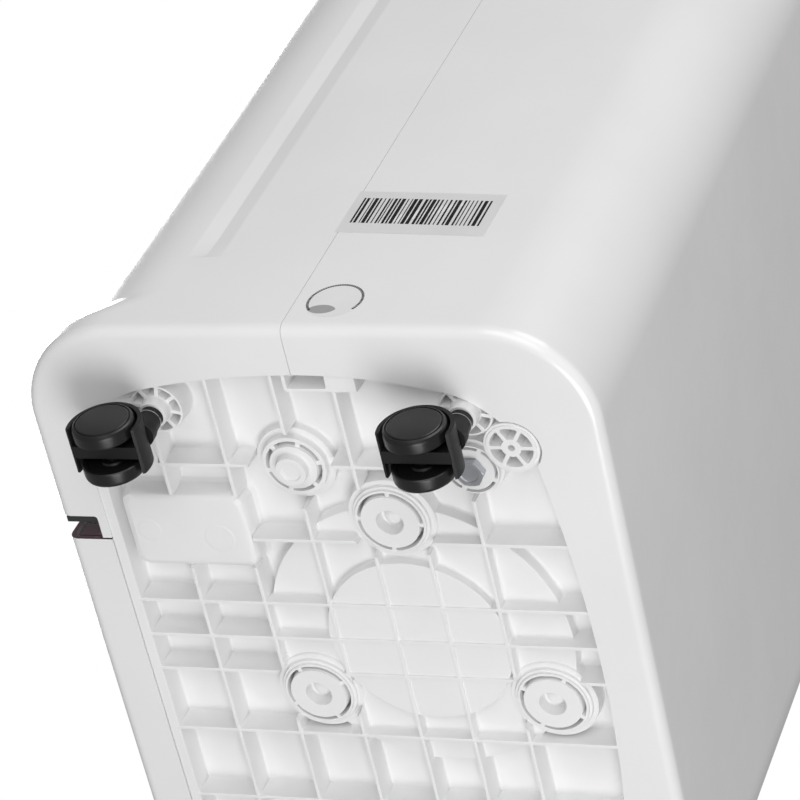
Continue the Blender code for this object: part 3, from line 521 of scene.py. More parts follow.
def studio():
    backdrop()
    ground()
    lamp("under", (0.28, -0.60, -1.30), (0, 0, 0.05), (0.8, 0.8), 12)
    lamp("fill", (-1.30, -0.30, -0.90), (0, 0, 0.05), (1.2, 1.2), 10)
    lamp("side", (-1.15, -0.60, 0.50), (0, 0, 0.3), (0.6, 1.2), 7)
    lamp("top", (0.5, 0.5, 2.4), (0, 0, 0.3), (1.6, 1.6), 16)
    lamp("rear", (1.2, 2.2, 2.6), (0, 0, 0.3), (1.4, 1.4), 34)
    bpy.context.scene.view_settings.view_transform = "Standard"


# Cabinet shells and top cover

SHELL_EDGE = 0.0005
BAY_TOP = 0.336
BAY_GAP = 0.0009
NOTCH_WIDTH = 0.0121
NOTCH_FRONT = 0.116
NOTCH_TOP = LIP_Z + 0.032
GRIP = (0.032, 0.096, 0.470, 0.508)
GRIP_CORNER = 0.016
GRIP_RIM = 0.0022
GRIP_DEPTH = 0.028
DRAIN = (-0.112, 0.200)
CORD = (-0.112, 0.120)
DISC = (0.1243, -0.0912)
DISC_RADIUS = 0.0127
DISC_GAP = 0.0010
COVER_GAP = 0.0003
COVER_EDGE = (0.020, 0.014)

# Openings as x0, x1 and y0, y1, or z0, z1 for the grille in the back
GRILLE = (-0.140, 0.140, 0.352, 0.540)
OUTLET = (-0.112, 0.112, -0.030, 0.046)
PANEL = (-0.095, 0.095, -0.108, -0.052)


def smooth_step(value):
    value = min(1.0, max(0.0, value))
    return value * value * (3 - 2 * value)


def quarter(half_x, edge_y, seam_y, radius, middle_y, side_bow, front_bow, columns):
    """Half of a shell's outline at one height, from the seam on the +X side round to the middle of the
    front or the back wall. Each stretch has a fixed number of points, so that rings can be joined."""
    along_side, along_corner, along_end = columns
    sign = 1 if edge_y > 0 else -1
    corner_y = edge_y - sign * radius
    points = [(half_x, seam_y + (corner_y - seam_y) * part) for part in along_side]
    for step in range(1, along_corner + 1):
        turn = math.pi / 2 * step / along_corner
        points.append((half_x - radius + radius * math.cos(turn), corner_y + sign * radius * math.sin(turn)))
    points += [((half_x - radius) * (1 - step / along_end), edge_y) for step in range(1, along_end + 1)]
    reach = abs(edge_y - middle_y)
    bowed = []
    for x, y in points:
        across = x / half_x
        along = (y - middle_y) / reach
        bowed.append((x - side_bow * across * along**2, y + front_bow * across**2 * max(0.0, -along)))
    return bowed


def mirrored(points):
    """The whole outline of a shell, from the seam at +X to the seam at -X."""
    return points + [(-x, y) for x, y in reversed(points[:-1])]


def wall_ring(side, height, inset, columns):
    """A shell's outer outline at a height; side is -1 for the front shell and 1 for the rear one."""
    rise = smooth_step((height - LIP_Z - FLARE[0]) / (FLARE[1] - FLARE[0])) if side > 0 else 0.0
    radius = RIM_RADIUS + rise * (REAR_RADIUS - RIM_RADIUS) - inset
    edge_y = side * (BACK_Y - inset) - rise * REAR_SETBACK
    seam = SEAM_Y + side * SEAM_GAP / 2
    half = quarter(HALF_X - inset, edge_y, seam, radius, 0.0, SIDE_BOW, 0.0, columns)
    return [(x, y, height) for x, y in mirrored(half)]


def lip_ring(side, inset, columns):
    """The edge of the opening inside the lip, for one shell."""
    edge_y = (LIP_BACK - inset) if side > 0 else (LIP_FRONT + inset)
    middle = (LIP_FRONT + LIP_BACK) / 2
    seam = SEAM_Y + side * SEAM_GAP / 2
    half = quarter(LIP_HALF_X - inset, edge_y, seam, LIP_CORNER - inset, middle, LIP_SIDE_BOW,
                   LIP_FRONT_BOW, columns)
    return [(x, y, LIP_Z) for x, y in mirrored(half)]


def between(start, end, part):
    """A ring part of the way from one ring to another."""
    return [tuple(Vector(a).lerp(Vector(b), part)) for a, b in zip(start, end)]


def shell_rows(side, columns, heights):
    """Rings of a shell from the inner edge of the lip, round the bottom fillet and up the wall."""
    rows = []
    inner = lip_ring(side, 0.0, columns)
    foot = wall_ring(side, LIP_Z, BOTTOM_FILLET, columns)
    for part in (0, 0.12, 0.4, 0.7, 0.94):
        rows.append(between(inner, foot, part))
    steps = 8
    for step in range(steps + 1):
        turn = math.pi / 2 * step / steps
        inset = BOTTOM_FILLET * (1 - math.sin(turn))
        rows.append(wall_ring(side, LIP_Z + BOTTOM_FILLET * (1 - math.cos(turn)), inset, columns))
    rows += [wall_ring(side, height, 0.0, columns) for height in heights]
    return rows if side > 0 else [row[::-1] for row in rows]


def groove(rows):
    """Presses the shallow groove into both sides of the rear shell's rows."""
    start, middle, end = GROOVE_Y
    low, high = GROOVE_Z
    pressed = []
    for row in rows:
        line = []
        for x, y, z in row:
            if abs(x) > HALF_X - GROOVE_REACH and start < y < end and low < z < high:
                across = (y - start) / (middle - start) if y < middle else (end - y) / (end - middle)
                ends = min(1.0, math.sqrt(max(0.0, min(z - low, high - z)) / GROOVE_FADE))
                x -= math.copysign(GROOVE_DEPTH * across * ends, x)
            line.append((x, y, z))
        pressed.append(line)
    return pressed


def shell_object(name, rows):
    """A wall of even thickness inside the surface through the rows."""
    made = placed(name, grid(rows))
    shell = made.modifiers.new("wall", "SOLIDIFY")
    shell.thickness = WALL
    shell.offset = -1
    shell.use_even_offset = True
    evaluated(made)
    whole = bmesh.new()
    whole.from_mesh(made.data)
    bmesh.ops.recalc_face_normals(whole, faces=whole.faces)
    whole.to_mesh(made.data)
    whole.free()
    return made


def even(count):
    return [step / count for step in range(count + 1)]


def flare_heights():
    """Heights close together where the rear shell flares at its foot."""
    return [LIP_Z + 0.0075 + 0.0245 * step / 12 for step in range(13)]


def front_housing():
    rise = [0.0075, 0.012, 0.02, 0.035, 0.06, 0.10, 0.16, 0.23, 0.30, 0.37, 0.44, LID_Z - LIP_Z]
    heights = [LIP_Z + up for up in rise]
    front = shell_object("front_shell", shell_rows(-1, (even(10), 20, 12), heights))
    for x, y in discs():
        boolean(front, cylinder((x, y, LIP_Z - 0.01), (x, y, LIP_Z + 0.006), DISC_RADIUS + DISC_GAP, 72))
    bevelled(front, SHELL_EDGE)
    dressed(front, CABINET, "cabinet", ["front_housing"])


def rear_wall():
    """The rear shell before it is cut, with points close together where the groove bends."""
    corner = REAR_Y - REAR_RADIUS - SEAM_Y
    start, middle, end = (y - SEAM_Y for y in GROOVE_Y)
    before = [0, 0.012, 0.024, 0.036, start - 0.001, start, start + 0.0008, (start + middle) / 2]
    bend = [middle - 0.0006, middle, middle + 0.0006, middle + 0.002, (middle + end) / 2]
    after = [end - 0.001, end, end + 0.0007, corner]
    side_steps = [y / corner for y in before + bend + after]
    low, high = GROOVE_Z
    foot = [low + 0.018 * step**2 / 36 for step in range(7)]
    crown = [high - 0.018 * step**2 / 36 for step in reversed(range(7))]
    wall = [0.084, low - 0.0050, low - 0.0010, *foot, 0.135, 0.165, 0.20, 0.25, 0.30, 0.35, 0.40, 0.43]
    heights = flare_heights() + wall + crown + [0.457, 0.465, 0.49, 0.52, LID_Z]
    return shell_object("rear_shell", groove(shell_rows(1, (side_steps, 20, 14), heights)))


def rear_housing():
    rear = rear_wall()
    tank_low, tank_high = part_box("water_tank")
    left, right = tank_low.x, tank_high.x
    boolean(rear, box((left - BAY_GAP, 0.100, 0), (right + BAY_GAP, 0.2, BAY_TOP)))
    for edge, out in ((left, -1), (right, 1)):
        x0, x1 = sorted((edge - out * 0.004, edge + out * (NOTCH_WIDTH + 0.0006)))
        notch = rounded(x0, x1, NOTCH_FRONT, 0.16, 0.0016)
        boolean(rear, slab([notch], 0.02, NOTCH_TOP))
    boolean(rear, slab([rounded(*GRILLE, 0.012)], -0.02, 0.02, to_back(REAR_Y)))
    for (x, z), radius in ((DRAIN, 0.0095), (CORD, 0.0080)):
        boolean(rear, cylinder((x, 0.100, z), (x, 0.140, z), radius))
    for out in (-1, 1):
        grip_cup(rear, out)
    bevelled(rear, SHELL_EDGE)
    dressed(rear, CABINET, "cabinet", ["rear_housing"])


def grip_cup(rear, out):
    """A moulded finger cup let into the side wall."""
    low_z, high_z = GRIP[2:]
    low, high = sorted((-out * 0.0002, -out * GRIP_DEPTH))
    cup = slab([rounded(*GRIP, GRIP_CORNER)], low, high, to_side(out * HALF_X))
    solid = placed("cup", cup)
    wall = [point[:2] for point in wall_ring(1, low_z, 0.0004, (even(24), 24, 4))]
    boolean(solid, slab([wall], low_z - 0.01, high_z + 0.01), "INTERSECT")
    shape = bmesh.new()
    shape.from_mesh(solid.data)
    bpy.data.objects.remove(solid)
    boolean(rear, shape, "UNION")
    hand = rounded(*grown(GRIP, -GRIP_RIM), GRIP_CORNER - GRIP_RIM)
    low, high = sorted((out * 0.010, -out * (GRIP_DEPTH - 0.002)))
    boolean(rear, slab([hand], low, high, to_side(out * HALF_X)))


def discs():
    return [(side * DISC[0], DISC[1]) for side in (-1, 1)]


def notch_shade_strip():
    """Painted shade: a black strip along the edge of the finger notch beside the tank, put where the notch
    shows deep shade.
    """
    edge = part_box("water_tank")[0].x - NOTCH_WIDTH
    low = (edge - 0.0002, NOTCH_FRONT, LIP_Z + 0.0004)
    high = (edge + 0.0030, BACK_Y - 0.0022, LIP_Z + 0.0040)
    made = placed("notch_shade_strip", box(low, high))
    bevelled(made, 0.0004)
    # The black rubber finish on this strip is painted shade, not a rubber part.
    dressed(made, RUBBER, "cabinet", ())


def tank_fascia():
    """The tank's white front, a piece of the rear wall; its cut edges show the tank's plastic."""
    low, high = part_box("tank_fascia")
    heights = flare_heights() + [0.10, 0.16, 0.22, 0.28, 0.345]
    made = shell_object("fascia_shell", shell_rows(1, (even(6), 20, 14), heights))
    boolean(made, box((low.x, LIP_BACK + 0.0003, 0), (high.x, 0.2, BAY_TOP - 0.0008)), "INTERSECT")
    bevelled(made, SHELL_EDGE)
    dressed(made, CABINET, "tank", ["tank_fascia"])
    made.data.materials.append(TANK)
    for face in made.data.polygons:
        edge = min(face.center.x - low.x, high.x - face.center.x)
        if abs(face.normal.x) > 0.9 and edge < 0.0008:
            face.material_index = 1


def top_cover():
    """A straight side, a rounded edge and a flat top, open for the outlet and the panel."""
    columns = (even(8), 20, 12)
    reach, drop = COVER_EDGE
    straight = TOP_Z - LID_Z - COVER_GAP - drop
    rows = [(LID_Z + COVER_GAP + straight * step / 2, 0.0) for step in range(3)]
    steps = 10
    for step in range(1, steps + 1):
        turn = math.pi / 2 * step / steps
        rows.append((TOP_Z - drop * (1 - math.sin(turn)), reach * (1 - math.cos(turn))))
    rings = []
    for height, inset in rows:
        front = cover_ring(-1, height, inset, columns)
        rear = cover_ring(1, height, inset, columns)
        rings.append(front + rear[::-1][1:-1])
    shape = grid(rings, closed=True)
    bmesh.ops.remove_doubles(shape, verts=shape.verts, dist=1e-6)
    top = [edge for edge in shape.edges if edge.is_boundary and edge.verts[0].co.z > TOP_Z - 1e-5]
    bmesh.ops.holes_fill(shape, edges=top)
    bmesh.ops.recalc_face_normals(shape, faces=shape.faces)
    made = placed("top_shell", shape)
    if made.data.polygons[-1].normal.z < 0:
        made.data.flip_normals()
    shell = made.modifiers.new("wall", "SOLIDIFY")
    shell.thickness = WALL
    shell.offset = -1
    evaluated(made)
    for opening in (rounded(*OUTLET, 0.006), rounded(*PANEL, 0.010)):
        boolean(made, slab([opening], TOP_Z - 0.010, TOP_Z + 0.010))
    bevelled(made, SHELL_EDGE)
    dressed(made, CABINET, "cabinet", ["top_cover"])


def cover_ring(side, height, inset, columns):
    """Half of the cover's outline at a height, without the seam that the shells have."""
    setback = REAR_SETBACK if side > 0 else 0.0
    radius = (REAR_RADIUS if side > 0 else RIM_RADIUS) - inset
    edge_y = side * (BACK_Y - inset) - setback
    half = quarter(HALF_X - inset, edge_y, 0.0, radius, 0.0, SIDE_BOW, 0.0, columns)
    return [(x, y, height) for x, y in mirrored(half)]


# Base: a moulded pan whose underside is one surface, deeper or shallower below the plane of the lip

TIP = 0.0006
FLOOR = 0.0124
RIB = 0.0018
RING_FLOOR = 0.0062
DISC_FLOOR = 0.0015
WELL = (-0.017, -0.026)
WELL_OUTER = 0.0716
WELL_INNER = 0.0435
FAR = 0.2

RIB_BACK = 0.1075

# Each rib's place across and its two ends: along X at a Y, and along Y at an X
RIBS_ALONG_X = ((0.076, -0.130, -0.095), (0.076, -0.0565, FAR), (0.0445, -FAR, -0.095),
                (0.0445, -0.0565, FAR), (0.0128, -FAR, FAR), (-0.0155, -0.1525, FAR),
                (-0.0410, -0.066, FAR), (-0.068, -0.100, FAR), (0.0066, -FAR, -0.1525))
LONG_RIBS = (-0.0365, -0.0167, 0.003, 0.0385, 0.079, 0.120)
RIBS_ALONG_Y = ((-0.1124, 0.026, 0.078), (-0.1124, -0.030, 0.004), (-0.1528, -0.0265, 0.0066),
                (-0.072, -0.107, 0.042), *((x, -FAR, RIB_BACK) for x in LONG_RIBS))
NOSE = 0.00035
ROOT = 0.0011
DRAFT = 1 / 16
SOCKET_RADIUS = 0.0122
HUB_RADIUS = 0.0064
HUB_DEPTH = -0.0042
STEMS = [(side * 0.142, y) for side in (-1, 1) for y in (0.071, -0.0738)]
FOOT_CIRCLE = 0.0655
FEET = [(WELL[0] + FOOT_CIRCLE * math.cos(t), WELL[1] + FOOT_CIRCLE * math.sin(t))
        for t in (math.pi, math.pi / 3, -math.pi / 3)]
POST = (-0.1095, 0.0145)
HEX = (-0.110, -0.069)
PAD = (-0.096, -0.0555, 0.042, 0.103)
PAD_TOP = 0.0012
PAD_FILLETS = (0.0038, 0.0050)
PAD_CORNER = 0.006
BORDER_Y = 0.1065
BORDER_TOP = 0.0008
TAB = (-0.170, -0.1528, -0.0265, -0.0125)

# The round marks on the pad, as x, y and radius
PAD_MARKS = ((-0.076, 0.092, 0.0055), (-0.072, 0.058, 0.0070))
PAD_MARK_TOP = PAD_TOP - 0.00015
BORDER_FILLETS = (0.0005, 0.0014)
PIT_FILLETS = (0.0002, 0.0006)

# Each edge of the well: its radius, the depths inside and outside it, and its two fillets
WELL_EDGES = ((WELL_OUTER, RING_FLOOR, FLOOR, 0.0008, 0.0016),
              (WELL_INNER, DISC_FLOOR, RING_FLOOR, 0.0006, 0.0014))

# The pan above its underside: it goes out over the lip at the ledge, and out again at the plate
LEDGE_Z = LIP_Z + WALL + 0.0003
LEDGE_REACH = 0.003
PLATE_Z = LIP_Z + 0.0170
PLATE_REACH = 0.011


def flank(beyond, top, floor, nose=NOSE, root=ROOT):
    """Depth at a distance beyond the edge of something that stands out to top over a floor: a rounded
    nose, a drafted wall and a rounded root. All depths are below the plane of the lip."""
    beyond, top, floor = np.broadcast_arrays(np.asarray(beyond, float), top, floor)
    drop = np.maximum(floor - top, 1e-7)
    nose = np.minimum(nose, 0.35 * drop)
    root = np.minimum(root, 0.45 * drop)
    foot = (drop - nose - root) * DRAFT
    over = np.clip(beyond + nose, 0, nose)
    out = np.clip(root - (beyond - foot), 0, root)
    depth = np.where(beyond <= 0, top + nose - np.sqrt(np.maximum(nose**2 - over**2, 0)),
                     top + nose + beyond / DRAFT)
    depth = np.where(beyond > foot, floor - root + np.sqrt(np.maximum(root**2 - out**2, 0)), depth)
    depth = np.where(beyond > foot + root, floor, depth)
    return np.where(beyond <= -nose, top, depth)


def flank_lines(top, floor, nose=NOSE, root=ROOT):
    """The distances beyond an edge at which the surface of flank() bends."""
    drop = floor - top
    nose = min(nose, 0.35 * drop)
    root = min(root, 0.45 * drop)
    foot = (drop - nose - root) * DRAFT
    return (-nose, -0.3 * nose, 0.0, foot, foot + 0.13 * root, foot + 0.45 * root, foot + root)


def rounded_box(x, y, bounds, radius):
    """Distance outside a rounded rectangle, negative inside."""
    x0, x1, y0, y1 = bounds
    dx = np.abs(x - (x0 + x1) / 2) - (x1 - x0) / 2 + radius
    dy = np.abs(y - (y0 + y1) / 2) - (y1 - y0) / 2 + radius
    return np.hypot(np.maximum(dx, 0), np.maximum(dy, 0)) + np.minimum(np.maximum(dx, dy), 0) - radius


def base_floor(x, y):
    """The three levels of the pan's skin: round the well, in its ring and in its middle."""
    reach = np.hypot(x - WELL[0], y - WELL[1])
    floor = FLOOR
    for radius, top, _, nose, root in WELL_EDGES:
        floor = flank(reach - radius, top, floor, nose, root)
    return floor


class Boss:
    """A round boss: steps are (radius, depth) from the outside in, pits are rings of pockets cut in it,
    (inner radius, outer radius, depth, bars, half width of a bar), hole is (radius, depth), and dome is
    (radius, height) of a round end in the hole."""

    def __init__(self, spot, steps, pits=(), hole=None, turn=0.0, deep=False, dome=None):
        self.spot, self.steps, self.pits, self.hole = spot, steps, pits, hole
        self.turn, self.deep, self.dome = turn, deep, dome

    def polar(self, x, y):
        return np.hypot(x - self.spot[0], y - self.spot[1]), np.arctan2(y - self.spot[1], x - self.spot[0])

    def pit_reach(self, x, y, pit):
        inner, outer, _, bars, half = pit
        reach, turn = self.polar(x, y)
        inside = np.minimum(reach - inner, outer - reach)
        step = 2 * math.pi / bars
        away = (turn - self.turn + step / 2) % step - step / 2
        return np.minimum(inside, reach * np.abs(np.sin(away)) - half)

    def shape(self, x, y, depth, floor):
        reach, _ = self.polar(x, y)
        depth = np.where(reach < self.steps[0][0], FLOOR if self.deep else floor, depth)
        for radius, top in self.steps:
            depth = np.minimum(depth, flank(reach - radius, top, np.maximum(depth, top + 1e-6)))
        for pit in self.pits:
            inside = self.pit_reach(x, y, pit)
            cut = flank(inside, self.level(pit[1]), pit[2], *PIT_FILLETS)
            depth = np.where(inside > -PIT_FILLETS[0], np.maximum(depth, cut), depth)
        if self.hole:
            radius, bottom = self.hole
            inside = radius - reach
            cut = flank(inside, self.level(radius), bottom)
            depth = np.where(inside > -NOSE, np.maximum(depth, cut), depth)
        if self.dome:
            radius, height = self.dome
            depth = depth - height * np.sqrt(np.maximum(0, 1 - (reach / radius) ** 2))
        return depth

    def level(self, outer):
        """The depth of the step that a pocket out to a radius is cut in."""
        return min(top for radius, top in self.steps if radius >= outer)

    def radii(self):
        """The radii at which the boss's surface bends."""
        found = []
        below = FLOOR
        for radius, top in self.steps:
            found += [radius + line for line in flank_lines(top, max(below, top + 0.001))]
            below = top
        for inner, outer, bottom, _, _ in self.pits:
            for line in flank_lines(self.level(outer), bottom, *PIT_FILLETS):
                found += [inner + line, outer - line]
        if self.hole:
            found += [self.hole[0] - line for line in flank_lines(self.level(self.hole[0]), self.hole[1])]
        if self.dome:
            found += [self.dome[0] * part for part in (0.3, 0.6, 0.8, 0.92, 1.0)]
        return [radius for radius in found if radius > 0.0002]

    def bars(self):
        """Line pieces along the bars between pockets."""
        lines = []
        for inner, outer, bottom, bars, half in self.pits:
            for bar in range(bars):
                turn = self.turn + 2 * math.pi * bar / bars
                along = np.array((math.cos(turn), math.sin(turn)))
                aside = np.array((-along[1], along[0]))
                for line in flank_lines(self.level(outer), bottom, *PIT_FILLETS):
                    for sign in (-1, 1):
                        off = np.array(self.spot) + aside * sign * (half + line)
                        lines.append((off + along * inner * 0.96, off + along * outer * 1.03))
        return lines


def bosses():
    post = [(0.0200, 0.0130), (0.0185, 0.0085), (0.0152, 0.0050), (0.0112, 0.0040), (0.0072, 0.0002)]
    foot = [(0.0205, 0.0050), (0.0180, 0.0034), (0.0166, 0.0022), (0.0136, 0.0016)]
    screw = [(0.0142, 0.0068), (0.0126, 0.0040)]
    socket = [(SOCKET_RADIUS, 0.0012), (HUB_RADIUS, HUB_DEPTH)]
    disc = [(DISC_RADIUS, 0.0007), (DISC_RADIUS - 0.0012, 0.0002)]
    found = [Boss(POST, post, [(0.0114, 0.0132, 0.0112, 6, 0.0011)], (0.0046, 0.0010), turn=0.35)]
    for number, spot in enumerate(FEET):
        found.append(Boss(spot, foot, [(0.0138, 0.0154, 0.0100, 4, 0.0010)], (0.0063, 0.0080),
                          turn=0.10 + number, dome=(0.0046, 0.0026)))
    found.append(Boss(HEX, screw, [(0.0105, 0.0118, 0.0110, 4, 0.0011)], (0.0034, 0.0120), turn=0.5))
    for spot in STEMS:
        found.append(Boss(spot, socket, [(0.0071, 0.0112, 0.0112, 8, 0.0009)], (0.0042, 0.0110),
                          turn=0.2, deep=True))
    for spot in discs():
        found.append(Boss(spot, disc, [(0.0045, 0.0098, 0.0105, 6, 0.0009)], (0.0015, 0.0100),
                          turn=0.54, deep=True))
    for x, y, radius in PAD_MARKS:
        found.append(Boss((x, y), [(radius, PAD_MARK_TOP)]))
    return found


def ribs():
    """Every rib's footprint, as its two ends in X and its two in Y."""
    half = RIB / 2
    found = [(start, end, y - half, y + half) for y, start, end in RIBS_ALONG_X]
    return found + [(x - half, x + half, start, end) for x, start, end in RIBS_ALONG_Y]


def base_depth(x, y, found):
    """The depth of the whole underside: floor, ribs, tab, pad, border and bosses."""
    floor = base_floor(x, y)
    depth = floor.copy()
    for bounds in ribs():
        depth = np.minimum(depth, flank(rounded_box(x, y, bounds, 0.0), TIP, floor))
    depth = np.minimum(depth, flank(rounded_box(x, y, TAB, 0.0), TIP, FLOOR))
    pad = rounded_box(x, y, PAD, PAD_CORNER)
    depth = np.where(pad < 0, FLOOR, depth)
    depth = np.minimum(depth, flank(pad, PAD_TOP, FLOOR, *PAD_FILLETS))
    depth = np.minimum(depth, flank(BORDER_Y - y, BORDER_TOP, FLOOR, *BORDER_FILLETS))
    for boss in found:
        on_pad = boss.steps[-1][1] == PAD_MARK_TOP
        depth = boss.shape(x, y, depth, np.where(pad < 0, PAD_TOP, floor) if on_pad else floor)
    return depth


def chords(start, end, across, axis):
    """Pieces of a rib's line, each with the floor that it crosses."""
    off = across - WELL[1 - axis]
    cuts = [start, end]
    for radius in (WELL_OUTER, WELL_INNER):
        if abs(off) < radius:
            half = math.sqrt(radius**2 - off**2)
            cuts += [cut for cut in (WELL[axis] - half, WELL[axis] + half) if start < cut < end]
    cuts.sort()
    pieces = []
    for first, last in zip(cuts, cuts[1:]):
        reach = math.hypot((first + last) / 2 - WELL[axis], off)
        floor = FLOOR if reach > WELL_OUTER else RING_FLOOR if reach > WELL_INNER else DISC_FLOOR
        pieces.append((first, last, floor))
    return pieces


def rib_lines(bounds):
    """The lines along a rib at which the surface bends."""
    x0, x1, y0, y1 = bounds
    axis = 0 if x1 - x0 > y1 - y0 else 1
    start, end, near, far = (x0, x1, y0, y1) if axis == 0 else (y0, y1, x0, x1)
    lines = []
    for first, last, floor in chords(start, end, (near + far) / 2, axis):
        for line in flank_lines(TIP, floor):
            lines += [((first, off), (last, off)) for off in (near - line, far + line)]
    for line in flank_lines(TIP, FLOOR):
        lines += [((tip, near), (tip, far)) for tip in (start - line, end + line)]
    if axis == 1:
        lines = [((off_a, a), (off_b, b)) for (a, off_a), (b, off_b) in lines]
    return lines


def base_underside(outline, found):
    """The underside as triangles whose edges follow every bend of the surface."""
    points = []
    edges = []
    faces = []

    def add(chain, closed=False):
        first = len(points)
        points.extend(Vector(point) / MM for point in chain)
        for i in range(len(chain) - (0 if closed else 1)):
            edges.append((first + i, first + (i + 1) % len(chain)))
        return list(range(first, len(points)))

    faces.append(add(outline, True))
    for spot in discs():
        faces.append(add(circle(*spot, DISC_RADIUS + 0.0002, 72), True))
    for bounds in ribs() + [TAB]:
        for line in rib_lines(bounds):
            add(line)
    for radius, top, floor, nose, root in WELL_EDGES:
        for line in flank_lines(top, floor, nose, root):
            add(circle(*WELL, radius + line, 144), True)
    for line in flank_lines(PAD_TOP, FLOOR, *PAD_FILLETS):
        add(rounded(*grown(PAD, line), PAD_CORNER + line), True)
    for line in flank_lines(BORDER_TOP, FLOOR, *BORDER_FILLETS):
        add([(-FAR, BORDER_Y - line), (FAR, BORDER_Y - line)])
    for boss in found:
        for radius in boss.radii():
            add(circle(*boss.spot, radius, 56), True)
        for line in boss.bars():
            add(line)
    made = geometry.delaunay_2d_cdt(points, edges, faces, 1, 1e-4)
    flat = np.array([tuple(point) for point in made[0]]) * MM
    depth = base_depth(flat[:, 0], flat[:, 1], found)
    corners = np.array(made[2])
    middle = flat[corners].mean(axis=1)
    kept = within(middle, outline)
    for spot in discs():
        kept |= np.hypot(*(middle - spot).T) < DISC_RADIUS + 0.0002
    return flat, depth, corners[kept].tolist()


def within(spots, outline):
    """Which of the spots lie inside a closed outline."""
    inside = np.zeros(len(spots), bool)
    x, y = spots.T
    for (ax, ay), (bx, by) in zip(outline, outline[1:] + outline[:1]):
        if ay == by:
            continue
        beside = x < ax + (y - ay) * (bx - ax) / (by - ay)
        inside ^= ((ay > y) != (by > y)) & beside
    return inside


def base_pan():
    columns = (even(8), 16, 12)
    inset = 0.00005
    front = [point[:2] for point in lip_ring(-1, inset, columns)]
    rear = [point[:2] for point in lip_ring(1, inset, columns)]
    outline = list(reversed(front)) + rear
    found = bosses()
    flat, depth, faces = base_underside(outline[::-1] if area(outline) < 0 else outline, found)
    shape = bmesh.new()
    verts = [shape.verts.new((x, y, LIP_Z + down)) for (x, y), down in zip(flat, depth)]
    for face in faces:
        shape.faces.new([verts[i] for i in reversed(face)])
    bmesh.ops.remove_doubles(shape, verts=shape.verts, dist=2e-6)
    bmesh.ops.delete(shape, geom=[v for v in shape.verts if not v.link_faces], context="VERTS")
    rim = [edge for edge in shape.edges if edge.is_boundary]
    rim = raised(shape, rim, lambda co: (co.x, co.y, LEDGE_Z))
    rim = raised(shape, rim, lambda co: outward(co, LEDGE_REACH))
    rim = raised(shape, rim, lambda co: (co.x, co.y, PLATE_Z))
    rim = raised(shape, rim, lambda co: outward(co, PLATE_REACH))
    rim = raised(shape, rim, lambda co: (co.x, co.y, PLATE_Z + WALL))
    bmesh.ops.holes_fill(shape, edges=rim)
    bmesh.ops.recalc_face_normals(shape, faces=shape.faces)
    made = placed("base_skin", shape)
    dressed(made, BASE, "cabinet", ["base_pan"], sharp=28)


def area(points):
    return sum(a[0] * b[1] - b[0] * a[1] for a, b in zip(points, points[1:] + points[:1])) / 2


def raised(shape, rim, move):
    """Extrudes a loop of edges and moves its new points; gives the new loop."""
    found = bmesh.ops.extrude_edge_only(shape, edges=rim)["geom"]
    for vert in [item for item in found if isinstance(item, bmesh.types.BMVert)]:
        vert.co = move(vert.co)
    return [item for item in found if isinstance(item, bmesh.types.BMEdge) and item.is_boundary]


def outward(co, reach):
    """A point of the rim moved straight out, but not back past the lip."""
    normal = Vector(((co.x / LIP_HALF_X) ** 3, (co.y / LIP_BACK) ** 3)).normalized()
    return (co.x + normal.x * reach, min(co.y + normal.y * reach, LIP_BACK), co.z)


# Casters: two wheels under a hood that turns on a stem

WHEEL_RADIUS = 0.0140
WHEEL_INNER = 0.0063
TRAIL = 0.0113
HOOD_RADIUS = 0.0170
HOOD_ROOM = 0.0152
HOOD_HALF_WIDTH = 0.01125
HOOD_FOOT = -0.0052
HOOD_HUB = 0.0032
WEB_HALF_WIDTH = 0.0030
WEB_FOOT = -0.0060
POST_TOP = LIP_Z - 0.0046
POST_RADIUS = 0.0053
RING_Z = POST_TOP - 0.0032
STEM_RADIUS = 0.0038
STEM_LOW = LIP_Z - 0.0125
STEM_HIGH = LIP_Z + 0.0160
AXLE_RADIUS = 0.0022
BOLT_HEIGHT = 0.0032
BOLT_RADIUS = 0.0070
CORNERS = {"back_left": (-0.142, 0.071), "front_left": (-0.142, -0.0738),
           "back_right": (0.142, 0.071), "front_right": (0.142, -0.0738)}


